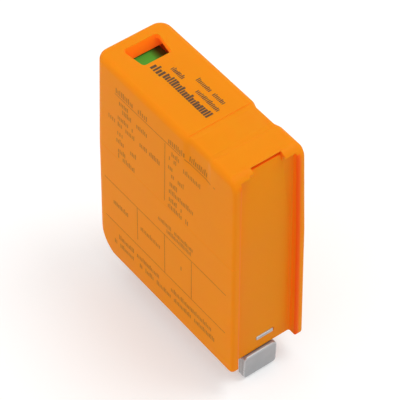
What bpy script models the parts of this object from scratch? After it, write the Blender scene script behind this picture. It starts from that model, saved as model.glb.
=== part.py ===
# Plug-in surge arrester module for a rail-mounted base: moulded case, two hooked contact
# blades, a varistor and the thermal disconnector with its status flag.
# Frame: origin at the centre of the underside, +X towards the end with the latch channel,
# +Y away from the label side, +Z up. Metres.

import math

import bmesh
import bpy
from mathutils import Matrix, Vector

MM = 0.001

# Case, outside
CASE_LENGTH = 44.8 * MM
CASE_WIDTH = 17.8 * MM
CASE_HEIGHT = 52.6 * MM
PARTING_HEIGHT = 30.0 * MM
LOWER_DRAFT = math.radians(0.47)
UPPER_DRAFT = math.radians(1.25)
WINDOW_CORNER_R = 2.7 * MM
LIP_CORNER_R = 0.8 * MM
TOP_EDGE_R = 1.0 * MM
TOP_WINDOW_END_R = 2.0 * MM
TOP_CHANNEL_END_R = 2.8 * MM
FOOT_WINDOW_END_R = 5.0 * MM
FOOT_CHANNEL_END_R = 0.6 * MM

# Case, walls
SIDE_WALL = 1.5 * MM
END_WALL = 1.3 * MM
ROOF = 1.1 * MM
PANEL_WALL = 1.0 * MM
END_RIB_WALL = 1.0 * MM
END_RIB_SPACING = 6.0 * MM
END_RIB_LOW = 9.0 * MM
END_RIB_HIGH = 36.0 * MM

# Finger grip at the top and the shallow band that crosses it
GRIP_SETBACK = 11.9 * MM
GRIP_LENGTH = 8.8 * MM
GRIP_RAMP = 2.0 * MM
GRIP_DEPTH = 0.5 * MM
GRIP_FADE = 8.0 * MM
BAND_LENGTH = 7.6 * MM
BAND_DEPTH = 0.15 * MM

# Latch channel at the +X end
CHANNEL_DEPTH = 2.2 * MM
CHANNEL_CORNER_R = 0.4 * MM
LIP_WALL = 1.9 * MM
CAP_THICKNESS = 1.1 * MM
NOTCH_WIDTH = 7.0 * MM
NOTCH_OFFSET = 0.4 * MM
NOTCH_BITE = 0.6 * MM
NOTCH_CHAMFER = 0.4 * MM
NOTCH_LIP = 0.3 * MM
NOTCH_LEDGE_DROP = 0.9 * MM
NOTCH_UNDERCUT = 0.35 * MM
BAY_AHEAD = 0.5 * MM
BAY_LENGTH = 0.7 * MM
BAY_WIDTH = 1.0 * MM
SLOT_WIDTH = 4.4 * MM
SLOT_HEIGHT = 1.0 * MM
SLOT_OFFSET = 0.9 * MM
SLOT_ABOVE_PLATE = 0.6 * MM
TAB_WIDTH = 3.9 * MM

# Status window in the top
WINDOW_SETBACK = 2.8 * MM
WINDOW_Y = 0.5 * MM
WINDOW_LENGTH = 6.0 * MM
WINDOW_WIDTH = 8.6 * MM
WINDOW_TAPER = math.radians(7.5)
WINDOW_CORNER = 0.9 * MM
COLLAR_WALL = 1.0 * MM
FLAG_DEPTH = 3.9 * MM

# Base plate and its snap hooks
PLATE_THICKNESS = 2.0 * MM
PLATE_CORNER_R = 1.0 * MM
REAR_HOOK_SETBACK = 17.4 * MM
FRONT_HOOK_SETBACK = 13.4 * MM
HOOK_LENGTH = 4.0 * MM
HOOK_THICKNESS = 1.0 * MM
HOOK_HEIGHT = 4.5 * MM
HOOK_NOSE = 0.5 * MM
HOOK_NOSE_HEIGHT = 1.2 * MM

# Contact blades
BLADE_WIDTH = 8.1 * MM
BLADE_OFFSET = -0.6 * MM
BLADE_THICKNESS = 0.8 * MM
BLADE_REACH = 6.9 * MM
HEM_GAP = 0.08 * MM
BLADE_JOGGLE = 0.96 * MM
JOGGLE_TOP = -0.3 * MM
JOGGLE_LOW = -1.5 * MM
LEAF_SPREAD = 0.24 * MM
LEAF_TOP = -0.3 * MM
BLADE_CORNER_R = 0.9 * MM
REAR_BLADE_SETBACK = 7.0 * MM
REAR_STEM_TOP = 6.0 * MM
FRONT_STEM_TOP = 16.0 * MM
FLANGE_LENGTH = 4.5 * MM
FLANGE_HEIGHT = 7.0 * MM

# Varistor and its electrodes
VARISTOR_HEIGHT = 30.0 * MM
VARISTOR_SETBACK = 6.4 * MM
VARISTOR_STEM_GAP = 4.1 * MM
VARISTOR_CORNER_R = 3.0 * MM
ELECTRODE_THICKNESS = 0.5 * MM
ELECTRODE_MARGIN = 1.0 * MM
PAD_RADIUS = 3.0 * MM
SOLDER_THICKNESS = 0.4 * MM
LUG_HEIGHT = 3.0 * MM
LEG_WIDTH = 4.5 * MM

# Mechanism frame
FRAME_WALL = 1.0 * MM
TRAY_WALL = 1.0 * MM
RAIL_HEIGHT = 1.0 * MM
RAIL_DEPTH = 2.9 * MM
POST_INSET = 0.2 * MM
POST_THICKNESS = 1.2 * MM

# Disconnect arm on its pivot
PIVOT_SETBACK = 14.5 * MM
PIVOT_Z = 13.0 * MM
PIVOT_R = 1.0 * MM
ARM_WIDTH = 6.0 * MM
ARM_THICKNESS = 0.7 * MM
ARM_REACH = 23.0 * MM
SOLDER_REACH = 19.0 * MM
NOSE_REACH = 20.0 * MM
NOSE_R = 1.0 * MM
BRAID_THICKNESS = 0.7 * MM
BRAID_WIDTH = 4.6 * MM
BRAID_WAVE = 1.1 * MM
EYELET_LAP = 0.2 * MM

# Trip slider, its flag and its spring
TRIP_TRAVEL = 7.0 * MM
SLIDER_AHEAD = 5.5 * MM
SLIDER_DEPTH = 3.36 * MM
SLIDER_HEIGHT = 23.0 * MM
WEB_THICKNESS = 1.2 * MM
RIM_WIDTH = 1.2 * MM
BEAM_THICKNESS = 1.4 * MM
BEAM_HEIGHT = 3.2 * MM
CARRIER_THICKNESS = 0.6 * MM
FLAG_THICKNESS = 1.2 * MM
FLAG_LENGTH = 7.2 * MM
FLAG_LAP = 0.6 * MM
FLAG_FAR_EDGE = 5.2 * MM
FLAG_PEG_R = 1.0 * MM
FLAG_PEG_INSET = 4.0 * MM
RISER_LENGTH = 4.0 * MM
RED_THICKNESS = 1.0 * MM
FOOT_WIDTH = 2.8 * MM
SPRING_LENGTH = 8.4 * MM
SPRING_R = 1.3 * MM
SPRING_WIRE_R = 0.2 * MM
SPRING_TURNS = 8
GUIDE_R = 0.7 * MM
SPRING_DROP = 5.3 * MM

# Small parts
RIVET_R = 0.8 * MM
RIVET_HEAD_R = 1.4 * MM
RIVET_HEAD = 0.5 * MM
PEG_R = 1.6 * MM
PEG_REACH = 2.5 * MM
PEG_SPACING = 4.8 * MM
PEG_CHAMFER = 0.4 * MM
PEG_HEAD_LAP = 0.4 * MM
PEG_HEAD = 1.0 * MM
PIN_HEAD = 0.5 * MM
EDGE_SOFT = 0.6 * MM
SMALL_CORNER_R = 0.5 * MM
SIGNAL_HOLE_R = 1.3 * MM

# Clearances
SEAT = 0.3 * MM
SLIDE_GAP = 0.4 * MM
RUN = 0.08 * MM
SOLDER_SEAT = 0.1 * MM
TAB_FIT = 0.1 * MM

ARC_STEPS = 5
ROUND_SIDES = 24
OVER = 1.0 * MM


# Places worked out from the sizes above

def half_length(z):
    lower = math.tan(LOWER_DRAFT) * min(z, PARTING_HEIGHT)
    upper = math.tan(UPPER_DRAFT) * max(z - PARTING_HEIGHT, 0)
    return CASE_LENGTH / 2 - lower - upper


def half_width(z):
    return half_length(z) - (CASE_LENGTH - CASE_WIDTH) / 2


WINDOW_END_X = -CASE_LENGTH / 2
CHANNEL_END_X = CASE_LENGTH / 2
PANEL_X = CHANNEL_END_X - CHANNEL_DEPTH
INNER_PANEL_X = PANEL_X - PANEL_WALL
GRIP_CENTRE = CHANNEL_END_X - GRIP_SETBACK
WINDOW_X = WINDOW_SETBACK + WINDOW_LENGTH / 2 - half_length(CASE_HEIGHT)
HOOK_X = (WINDOW_END_X + REAR_HOOK_SETBACK, CHANNEL_END_X - FRONT_HOOK_SETBACK)
REAR_BLADE_X = WINDOW_END_X + REAR_BLADE_SETBACK
FRONT_STEM_X = INNER_PANEL_X - SEAT - BLADE_THICKNESS / 2
PIVOT_X = FRONT_STEM_X - PIVOT_SETBACK
BLADE_BEND_R = (BLADE_THICKNESS + HEM_GAP) / 2

# Heights, from the flag down and from the base plate up
FLAG_TOP = CASE_HEIGHT - FLAG_DEPTH
CARRIER_TOP = FLAG_TOP - FLAG_THICKNESS - SEAT
RED_TOP = CARRIER_TOP - CARRIER_THICKNESS - SLIDE_GAP
SLIDER_TOP = RED_TOP - RAIL_HEIGHT - SLIDE_GAP
SLIDER_LOW = SLIDER_TOP - SLIDER_HEIGHT
SPRING_Z = SLIDER_TOP - SPRING_DROP
VARISTOR_LOW = PLATE_THICKNESS + REAR_STEM_TOP
VARISTOR_TOP = VARISTOR_LOW + VARISTOR_HEIGHT
TRAY_LOW = VARISTOR_LOW - SEAT - TRAY_WALL
FOOT_LOW = PLATE_THICKNESS + OVER

# The stack across the width, from the label side to the far wall; the varistor fills what is left
SLIDER_Y0 = SIDE_WALL + SLIDE_GAP - half_width(CARRIER_TOP)
SLIDER_Y1 = SLIDER_Y0 + SLIDER_DEPTH
ARM_Y0 = SLIDER_Y1 + SLIDE_GAP
ARM_Y1 = ARM_Y0 + ARM_THICKNESS
SOLDER_Y = ARM_Y1 + SOLDER_SEAT
PAD_Y = SOLDER_Y + SOLDER_THICKNESS + SOLDER_SEAT
FRAME_Y0 = PAD_Y + SOLDER_SEAT
FRAME_Y1 = FRAME_Y0 + FRAME_WALL
BOSS_Y = FRAME_Y0 - SEAT
RAIL_Y0 = FRAME_Y0 - RAIL_DEPTH
NEAR_PLATE_Y = FRAME_Y1 + SEAT + ELECTRODE_THICKNESS
VARISTOR_Y0 = NEAR_PLATE_Y + SEAT
FAR_PLATE_Y = half_width(VARISTOR_TOP) - SIDE_WALL - SEAT
VARISTOR_Y1 = FAR_PLATE_Y - ELECTRODE_THICKNESS - SEAT
BRAID_Y = ARM_Y0 - SEAT - BRAID_THICKNESS / 2
FLANGE_Y = BRAID_Y - BRAID_THICKNESS / 2 - SEAT - BLADE_THICKNESS / 2
BEAM_Y1 = SLIDER_Y0 + BEAM_THICKNESS
FOOT_Y0 = SIDE_WALL + SEAT + HOOK_THICKNESS + SEAT - CASE_WIDTH / 2
FOOT_Y1 = FOOT_Y0 + BEAM_THICKNESS
SPRING_Y = (SLIDER_Y0 + SLIDER_Y1) / 2

# Places along the length
VARISTOR_X0 = WINDOW_END_X + VARISTOR_SETBACK
VARISTOR_X1 = FRONT_STEM_X - BLADE_THICKNESS / 2 - VARISTOR_STEM_GAP
FLAG_X0 = WINDOW_X - WINDOW_LENGTH / 2 - FLAG_LAP
FLAG_X1 = FLAG_X0 + FLAG_LENGTH
POST_X0 = FLAG_X0 + POST_INSET
SPRING_X0 = POST_X0 + POST_THICKNESS + SEAT
SPRING_X1 = SPRING_X0 + SPRING_LENGTH
SLIDER_X0 = SPRING_X1 + SEAT
SLIDER_X1 = PIVOT_X + SLIDER_AHEAD
NOSE_X = PIVOT_X - ARM_WIDTH / 2 - SEAT - NOSE_R


# Scene, materials and collections

for leftover in list(bpy.data.objects):
    bpy.data.objects.remove(leftover, do_unlink=True)

parts = bpy.data.collections.new("surge_arrester_module")
helpers = bpy.data.collections.new("cutters")
bpy.context.scene.collection.children.link(parts)
bpy.context.scene.collection.children.link(helpers)


def material(name, colour, roughness, metallic=0.0):
    made = bpy.data.materials.new(name)
    made.use_nodes = True
    shader = made.node_tree.nodes["Principled BSDF"]
    shader.inputs["Base Color"].default_value = (*colour, 1)
    shader.inputs["Roughness"].default_value = roughness
    shader.inputs["Metallic"].default_value = metallic
    return made


orange = material("case_orange", (0.86, 0.26, 0.02), 0.45)
natural = material("natural_plastic", (0.72, 0.69, 0.60), 0.5)
black = material("black_plastic", (0.03, 0.03, 0.035), 0.5)
coating = material("varistor_coating", (0.05, 0.09, 0.22), 0.4)
copper = material("copper", (0.80, 0.42, 0.28), 0.3, 1.0)
tinned = material("tinned_copper", (0.66, 0.66, 0.67), 0.32, 1.0)
steel = material("steel", (0.56, 0.57, 0.58), 0.3, 1.0)
solder = material("solder", (0.62, 0.62, 0.64), 0.4, 1.0)
green = material("flag_green", (0.08, 0.36, 0.04), 0.5)
red = material("plate_red", (0.65, 0.03, 0.02), 0.5)


# Modelling helpers

def rounded(corners, radii):
    # A closed outline with an arc at each corner that has a radius.
    points = []
    for i, corner in enumerate(corners):
        radius = radii[i] if isinstance(radii, (list, tuple)) else radii
        here = Vector(corner)
        back = (Vector(corners[i - 1]) - here).normalized()
        ahead = (Vector(corners[(i + 1) % len(corners)]) - here).normalized()
        if radius <= 0:
            points.append(here)
            continue
        half = back.angle(ahead) / 2
        centre = here + (back + ahead).normalized() * (radius / math.sin(half))
        start = here + back * (radius / math.tan(half)) - centre
        sweep = math.pi - 2 * half
        turn = 1 if back.x * ahead.y - back.y * ahead.x < 0 else -1
        for step in range(ARC_STEPS + 1):
            spin = Matrix.Rotation(turn * sweep * step / ARC_STEPS, 2)
            points.append(centre + spin @ start)
    return points


def rectangle(low, high, radius=0.0):
    corners = [(low[0], low[1]), (high[0], low[1]), (high[0], high[1]), (low[0], high[1])]
    return rounded(corners, radius)


def circle(centre, radius, sides=ROUND_SIDES):
    angles = [2 * math.pi * i / sides for i in range(sides)]
    return [Vector((centre[0] + radius * math.cos(a), centre[1] + radius * math.sin(a))) for a in angles]


def finish(name, mesh, finish_material, at=(0, 0, 0)):
    mesh.name = name
    mesh.materials.clear()
    mesh.materials.append(finish_material)
    mesh.shade_smooth()
    mesh.set_sharp_from_angle(angle=math.radians(35))
    made = bpy.data.objects.new(name, mesh)
    made.location = at
    parts.objects.link(made)
    return made


# An outline in X and Z is drawn out along Y, one in X and Y along Z, one in Y and Z along X.
TURNS = {
    "X": Matrix(((0, 0, 1), (1, 0, 0), (0, 1, 0))).to_4x4(),
    "Y": Matrix(((1, 0, 0), (0, 0, -1), (0, 1, 0))).to_4x4(),
    "Z": Matrix.Identity(4),
}


def drawn(name, outline, axis, low, high, finish_material=orange, holes=(), at=(0, 0, 0)):
    curve = bpy.data.curves.new(name, "CURVE")
    curve.dimensions = "2D"
    curve.fill_mode = "BOTH"
    curve.extrude = (high - low) / 2
    for ring in (outline, *holes):
        spline = curve.splines.new("POLY")
        spline.points.add(len(ring) - 1)
        spline.use_cyclic_u = True
        for point, place in zip(spline.points, ring):
            point.co = (place[0], place[1], 0, 1)
    guide = bpy.data.objects.new(name + "_curve", curve)
    parts.objects.link(guide)
    bpy.context.view_layer.update()
    shape = guide.evaluated_get(bpy.context.evaluated_depsgraph_get())
    mesh = bpy.data.meshes.new_from_object(shape)
    bpy.data.objects.remove(guide, do_unlink=True)
    step = {"X": (1, 0, 0), "Y": (0, 1, 0), "Z": (0, 0, 1)}[axis]
    mesh.transform(Matrix.Translation(Vector(step) * (low + high) / 2) @ TURNS[axis])
    bm = bmesh.new()
    bm.from_mesh(mesh)
    bmesh.ops.remove_doubles(bm, verts=bm.verts, dist=1e-7)
    bmesh.ops.recalc_face_normals(bm, faces=bm.faces)
    bm.to_mesh(mesh)
    bm.free()
    return finish(name, mesh, finish_material, at)


def block(name, low, high, finish_material=orange, at=(0, 0, 0)):
    bm = bmesh.new()
    bmesh.ops.create_cube(bm, size=1)
    size = Vector(high) - Vector(low)
    bmesh.ops.scale(bm, vec=size, verts=bm.verts)
    bmesh.ops.translate(bm, vec=(Vector(low) + Vector(high)) / 2, verts=bm.verts)
    mesh = bpy.data.meshes.new(name)
    bm.to_mesh(mesh)
    bm.free()
    return finish(name, mesh, finish_material, at)


def turned(name, profile, axis, centre, finish_material, at=(0, 0, 0)):
    # A closed (radius, height) profile spun about an axis through centre.
    bm = bmesh.new()
    path = [bm.verts.new((radius, 0, height)) for radius, height in profile]
    edges = [bm.edges.new(pair) for pair in zip(path, path[1:])]
    bmesh.ops.spin(
        bm, geom=path + edges, cent=(0, 0, 0), axis=(0, 0, 1),
        angle=2 * math.pi, steps=ROUND_SIDES, use_duplicate=False,
    )
    bmesh.ops.remove_doubles(bm, verts=bm.verts, dist=1e-7)
    bmesh.ops.recalc_face_normals(bm, faces=bm.faces)
    bmesh.ops.transform(bm, matrix=Matrix.Translation(centre) @ TURNS[axis], verts=bm.verts)
    mesh = bpy.data.meshes.new(name)
    bm.to_mesh(mesh)
    bm.free()
    return finish(name, mesh, finish_material, at)


def combine(target, operation, *tools):
    for tool in tools:
        for home in list(tool.users_collection):
            home.objects.unlink(tool)
        helpers.objects.link(tool)
        tool.hide_render = True
        tool.display_type = "WIRE"
        step = target.modifiers.new(tool.name, "BOOLEAN")
        step.operation = operation
        step.object = tool
        step.solver = "EXACT"


def soften(target, width, segments=2, angle=40):
    edge = target.modifiers.new("edges", "BEVEL")
    edge.width = width
    edge.segments = segments
    edge.limit_method = "ANGLE"
    edge.angle_limit = math.radians(angle)


def strip_outline(path, thickness):
    # The two sides of a bent strip, half its thickness either side of its middle line.
    sides = ([], [])
    for i, point in enumerate(path):
        here = Vector(point)
        into = (here - Vector(path[i - 1])).normalized() if i else None
        out = (Vector(path[i + 1]) - here).normalized() if i + 1 < len(path) else into
        into = into or out
        across = Vector((-(into.y + out.y), into.x + out.x)).normalized()
        reach = thickness / 2 / max(across.dot(Vector((-into.y, into.x))), 0.5)
        sides[0].append(here + across * reach)
        sides[1].append(here - across * reach)
    return sides[0] + sides[1][::-1]


# Case shell

def smooth(t):
    t = min(max(t, 0), 1)
    return t * t * (3 - 2 * t)


def round_off(radius, into):
    # How far an edge of this radius has drawn back where it has gone this far into its arc.
    into = min(max(into, 0), radius)
    return radius - math.sqrt(max(radius * radius - into * into, 0))


def grip(x, z):
    along = (GRIP_LENGTH / 2 - abs(x - GRIP_CENTRE)) / GRIP_RAMP
    down = 1 - (CASE_HEIGHT - z) / GRIP_FADE
    return GRIP_DEPTH * smooth(along) * smooth(down * 1.6)


def section(z, x0, x1, half, r0, r1, dip):
    # One level of the shell: a rounded rectangle whose long sides follow the grip, if dip is 1.
    ramp = [GRIP_RAMP * i / 4 for i in range(5)]
    stations = [GRIP_CENTRE - GRIP_LENGTH / 2 + r for r in ramp]
    stations += [GRIP_CENTRE + GRIP_LENGTH / 2 - r for r in ramp[::-1]]
    stations = stations if dip else []
    ring = []
    for centre_x, side, radius, start in (
        (x0 + r0, -1, r0, math.pi), (x1 - r1, -1, r1, 1.5 * math.pi),
        (x1 - r1, 1, r1, 0), (x0 + r0, 1, r0, 0.5 * math.pi),
    ):
        centre_y = side * (half - radius)
        for step in range(ARC_STEPS + 1):
            angle = start + 0.5 * math.pi * step / ARC_STEPS
            ring.append((centre_x + radius * math.cos(angle), centre_y + radius * math.sin(angle), z))
        if start == math.pi:
            ring += [(x, grip(x, z) - half, z) for x in stations]
        if start == 0:
            ring += [(x, half - grip(x, z), z) for x in stations[::-1]]
    return ring


def loft(name, rings):
    bm = bmesh.new()
    levels = [[bm.verts.new(place) for place in ring] for ring in rings]
    for lower, upper in zip(levels, levels[1:]):
        for i in range(len(lower)):
            j = (i + 1) % len(lower)
            bm.faces.new((lower[i], lower[j], upper[j], upper[i]))
    bm.faces.new(levels[0][::-1])
    bm.faces.new(levels[-1])
    bmesh.ops.recalc_face_normals(bm, faces=bm.faces)
    mesh = bpy.data.meshes.new(name)
    bm.to_mesh(mesh)
    bm.free()
    return finish(name, mesh, orange)


def outer_rings():
    foot = [FOOT_WINDOW_END_R * (1 - math.cos(math.radians(a))) for a in (0, 15, 30, 45, 60, 75, 90)]
    fade = [CASE_HEIGHT - GRIP_FADE * share for share in (1.0, 0.8, 0.6, 0.4)]
    crown = [CASE_HEIGHT - TOP_CHANNEL_END_R * share for share in (1.0, 0.7, 0.5, 0.33, 0.2, 0.1, 0.03, 0)]
    rings = []
    for z in foot + [PARTING_HEIGHT] + fade + crown:
        below_top = CASE_HEIGHT - z
        x0 = -half_length(z)
        x0 += round_off(FOOT_WINDOW_END_R, FOOT_WINDOW_END_R - z)
        x0 += round_off(TOP_WINDOW_END_R, TOP_WINDOW_END_R - below_top)
        x1 = half_length(z)
        x1 -= round_off(FOOT_CHANNEL_END_R, FOOT_CHANNEL_END_R - z)
        x1 -= round_off(TOP_CHANNEL_END_R, TOP_CHANNEL_END_R - below_top)
        edge = round_off(TOP_EDGE_R, TOP_EDGE_R - below_top)
        corner0 = WINDOW_CORNER_R - edge
        corner1 = max(LIP_CORNER_R - edge, LIP_CORNER_R / 3)
        rings.append(section(z, x0, x1, half_width(z) - edge, corner0, corner1, 1))
    return rings


def cavity_rings():
    foot_r = FOOT_WINDOW_END_R - END_WALL
    foot = [END_WALL + foot_r * (1 - math.cos(math.radians(a))) for a in (0, 22.5, 45, 67.5, 90)]
    top = CASE_HEIGHT - ROOF
    rings = []
    for z in [-OVER] + foot + [PARTING_HEIGHT, top - TOP_EDGE_R, top - 0.3 * TOP_EDGE_R, top]:
        x0 = -half_length(max(z, 0)) + END_WALL + round_off(foot_r, foot_r + END_WALL - z)
        edge = round_off(TOP_EDGE_R, TOP_EDGE_R - (top - z)) * 0.6
        half = half_width(max(z, 0)) - SIDE_WALL - edge
        corner = WINDOW_CORNER_R - END_WALL
        rings.append(section(z, x0 + edge, INNER_PANEL_X, half, corner, LIP_CORNER_R, 0))
    return rings


def housing_cover():
    cover = loft("housing_cover", outer_rings())
    cavity = loft("case_cavity", cavity_rings())

    # A skirt hangs from the roof round three sides of the window and stops just above the flag.
    x0, x1 = WINDOW_X - WINDOW_LENGTH / 2, WINDOW_X + WINDOW_LENGTH / 2
    half0 = WINDOW_WIDTH / 2
    half1 = half0 - WINDOW_LENGTH * math.tan(WINDOW_TAPER)
    far_wall = half_width(CASE_HEIGHT) - SIDE_WALL
    skirt = block(
        "window_skirt", (x0 - COLLAR_WALL, WINDOW_Y - half0 - COLLAR_WALL, FLAG_TOP + SLIDE_GAP),
        (x1 + COLLAR_WALL, far_wall + SIDE_WALL / 2, CASE_HEIGHT - ROOF / 2),
    )
    window = rounded(
        [(x0, WINDOW_Y - half0), (x1, WINDOW_Y - half1), (x1, WINDOW_Y + half1), (x0, WINDOW_Y + half0)],
        WINDOW_CORNER,
    )
    tunnel = drawn("window_tunnel", window, "Z", FLAG_TOP, CASE_HEIGHT + OVER)
    behind = [(x0, WINDOW_Y), (x1, WINDOW_Y), (x1, far_wall), (x0, far_wall)]
    open_side = drawn("skirt_opening", behind, "Z", FLAG_TOP, CASE_HEIGHT - ROOF)

    # Ribs on the end wall hold the insert off it.
    rib_end = VARISTOR_X0 - SEAT - TRAY_WALL - SEAT
    ribs = []
    for side in (-1, 1):
        y = side * END_RIB_SPACING / 2
        ribs.append(
            block(
                "end_rib_%s" % ("far" if side > 0 else "near"),
                (END_WALL / 2 - half_length(END_RIB_LOW), y - END_RIB_WALL / 2, END_RIB_LOW),
                (rib_end, y + END_RIB_WALL / 2, END_RIB_HIGH),
            )
        )

    # The channel between the two side walls, closed at the top by the cap.
    under_cap = CASE_HEIGHT - CAP_THICKNESS
    levels = []
    for z in (-OVER, PARTING_HEIGHT, under_cap):
        half = half_width(max(z, 0)) - LIP_WALL
        corner = CHANNEL_CORNER_R
        levels.append(section(z, PANEL_X, CHANNEL_END_X + OVER, half, corner, corner, 0))
    channel = loft("latch_channel", levels)

    # The notch in the cap is undercut for the base's latch; below it a ledge falls to the panel.
    far = CHANNEL_END_X + OVER
    bite = PANEL_X - NOTCH_BITE
    lip_z = CASE_HEIGHT - NOTCH_LIP
    ledge_z = CASE_HEIGHT - NOTCH_LEDGE_DROP
    notch_side = [
        (bite, CASE_HEIGHT + OVER), (bite, lip_z), (bite - NOTCH_UNDERCUT, lip_z),
        (bite - NOTCH_UNDERCUT, ledge_z), (bite, ledge_z), (PANEL_X, ledge_z - NOTCH_CHAMFER),
        (far, ledge_z - NOTCH_CHAMFER), (far, CASE_HEIGHT + OVER),
    ]
    notch_y0 = NOTCH_OFFSET - NOTCH_WIDTH / 2
    notch = drawn("cap_notch", notch_side, "Y", notch_y0, notch_y0 + NOTCH_WIDTH)
    bay = block(
        "notch_bay", (PANEL_X + BAY_AHEAD, notch_y0 - BAY_WIDTH, under_cap - OVER / 2),
        (PANEL_X + BAY_AHEAD + BAY_LENGTH, notch_y0 + OVER / 2, CASE_HEIGHT + OVER),
    )

    slot_low = PLATE_THICKNESS + SLOT_ABOVE_PLATE
    slot = drawn(
        "panel_slot",
        rectangle(
            (SLOT_OFFSET - SLOT_WIDTH / 2, slot_low), (SLOT_OFFSET + SLOT_WIDTH / 2, slot_low + SLOT_HEIGHT),
            SLOT_HEIGHT / 4,
        ),
        "X", INNER_PANEL_X - OVER, PANEL_X + OVER,
    )
    band = block(
        "top_band",
        (GRIP_CENTRE - BAND_LENGTH / 2, -CASE_WIDTH, CASE_HEIGHT - BAND_DEPTH),
        (GRIP_CENTRE + BAND_LENGTH / 2, CASE_WIDTH, CASE_HEIGHT + OVER),
    )
    combine(cover, "DIFFERENCE", cavity)
    combine(cover, "UNION", skirt, *ribs)
    combine(cover, "DIFFERENCE", tunnel, open_side, channel, notch, bay, slot, band)

    # Blind pockets inside the long walls take the base plate's hooks.
    nose_top = PLATE_THICKNESS + HOOK_HEIGHT
    inner = CASE_WIDTH / 2 - SIDE_WALL
    for side in (-1, 1):
        for i, x in enumerate(HOOK_X):
            ends = sorted((side * (inner - OVER), side * (inner - SEAT + HOOK_NOSE + SEAT)))
            pocket = block(
                "hook_pocket_%s%d" % ("far" if side > 0 else "near", i + 1),
                (x - HOOK_LENGTH / 2 - SEAT, ends[0], nose_top - HOOK_NOSE_HEIGHT - SEAT),
                (x + HOOK_LENGTH / 2 + SEAT, ends[1], nose_top + SEAT),
            )
            combine(cover, "DIFFERENCE", pocket)


def base_plate():
    x0 = WINDOW_END_X + FOOT_WINDOW_END_R + SLIDE_GAP
    x1 = INNER_PANEL_X - SEAT
    half = CASE_WIDTH / 2 - SIDE_WALL - SEAT
    plate = drawn(
        "base_plate", rectangle((x0, -half), (x1, half), PLATE_CORNER_R), "Z", 0, PLATE_THICKNESS,
    )
    nose_top = PLATE_THICKNESS + HOOK_HEIGHT
    for side in (-1, 1):
        for i, x in enumerate(HOOK_X):
            hook_side = [
                (side * (half - HOOK_THICKNESS), PLATE_THICKNESS / 2),
                (side * half, PLATE_THICKNESS / 2),
                (side * half, nose_top - HOOK_NOSE_HEIGHT),
                (side * (half + HOOK_NOSE), nose_top - HOOK_NOSE_HEIGHT),
                (side * half, nose_top),
                (side * (half - HOOK_THICKNESS), nose_top),
            ]
            hook = drawn(
                "hook_%s%d" % ("far" if side > 0 else "near", i + 1),
                hook_side, "X", x - HOOK_LENGTH / 2, x + HOOK_LENGTH / 2,
            )
            combine(plate, "UNION", hook)
    room = BLADE_THICKNESS / 2 + SEAT
    blade_low = BLADE_OFFSET - BLADE_WIDTH / 2 - SEAT
    blade_high = BLADE_OFFSET + BLADE_WIDTH / 2 + SEAT
    rear_slot = block(
        "rear_blade_slot", (REAR_BLADE_X - room, blade_low, -OVER),
        (REAR_BLADE_X + room, blade_high, PLATE_THICKNESS + OVER),
    )
    front_slot = block(
        "front_blade_slot", (FRONT_STEM_X - room, blade_low, -OVER),
        (x1 + OVER, blade_high, PLATE_THICKNESS + OVER),
    )
    signal = drawn(
        "signal_hole", circle((SLIDER_X0 + FOOT_WIDTH / 2, (FOOT_Y0 + FOOT_Y1) / 2), SIGNAL_HOLE_R),
        "Z", -OVER, PLATE_THICKNESS + OVER,
    )
    combine(plate, "DIFFERENCE", rear_slot, front_slot, signal)
    for i, place in enumerate(peg_places()):
        hole = drawn(
            "peg_hole_%d" % (i + 1), circle(place, PEG_R + RUN), "Z", -OVER, PLATE_THICKNESS + OVER,
        )
        combine(plate, "DIFFERENCE", hole)


def peg_places():
    middle = (HOOK_X[0] + HOOK_X[1]) / 2
    y = FRAME_Y1 + SEAT + PEG_R + PEG_HEAD_LAP
    return [(middle + side * PEG_SPACING / 2, y) for side in (-1, 1)]


def coding_pegs():
    for name, place in zip(("coding_peg_rear", "coding_peg_front"), peg_places()):
        head = PEG_R + PEG_HEAD_LAP
        seat = PLATE_THICKNESS + SEAT
        profile = [
            (0, seat + PEG_HEAD), (head, seat + PEG_HEAD), (head, seat), (PEG_R, seat),
            (PEG_R, PEG_CHAMFER - PEG_REACH), (PEG_R - PEG_CHAMFER, -PEG_REACH), (0, -PEG_REACH),
        ]
        turned(name, profile, "Z", (place[0], place[1], 0), black)


# Contact blades

def hook_path(stem_top):
    # Middle line of a blade in its own frame: stem at 0, folded up on itself towards +X.
    bend_z = -(BLADE_REACH - BLADE_THICKNESS / 2 - BLADE_BEND_R)
    path = [(0, stem_top), (0, JOGGLE_TOP), (BLADE_JOGGLE, JOGGLE_LOW)]
    centre = BLADE_JOGGLE + BLADE_BEND_R
    for step in range(9):
        angle = math.pi + math.pi * step / 8
        path.append((centre + BLADE_BEND_R * math.cos(angle), bend_z + BLADE_BEND_R * math.sin(angle)))
    path.append((centre + BLADE_BEND_R + LEAF_SPREAD, LEAF_TOP))
    return path


def corner_waste(y, side, z, up):
    # What lies outside a rounded corner at y and z; side and up point out of the blade.
    centre_y = y - side * BLADE_CORNER_R
    centre_z = z - up * BLADE_CORNER_R
    outline = [(centre_y, z + up * OVER), (y + side * OVER, z + up * OVER), (y + side * OVER, centre_z)]
    for step in range(ARC_STEPS + 1):
        angle = math.pi / 2 * (1 - step / ARC_STEPS)
        outline.append((
            centre_y + side * BLADE_CORNER_R * math.sin(angle), centre_z + up * BLADE_CORNER_R * math.cos(angle),
        ))
    return outline


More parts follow.
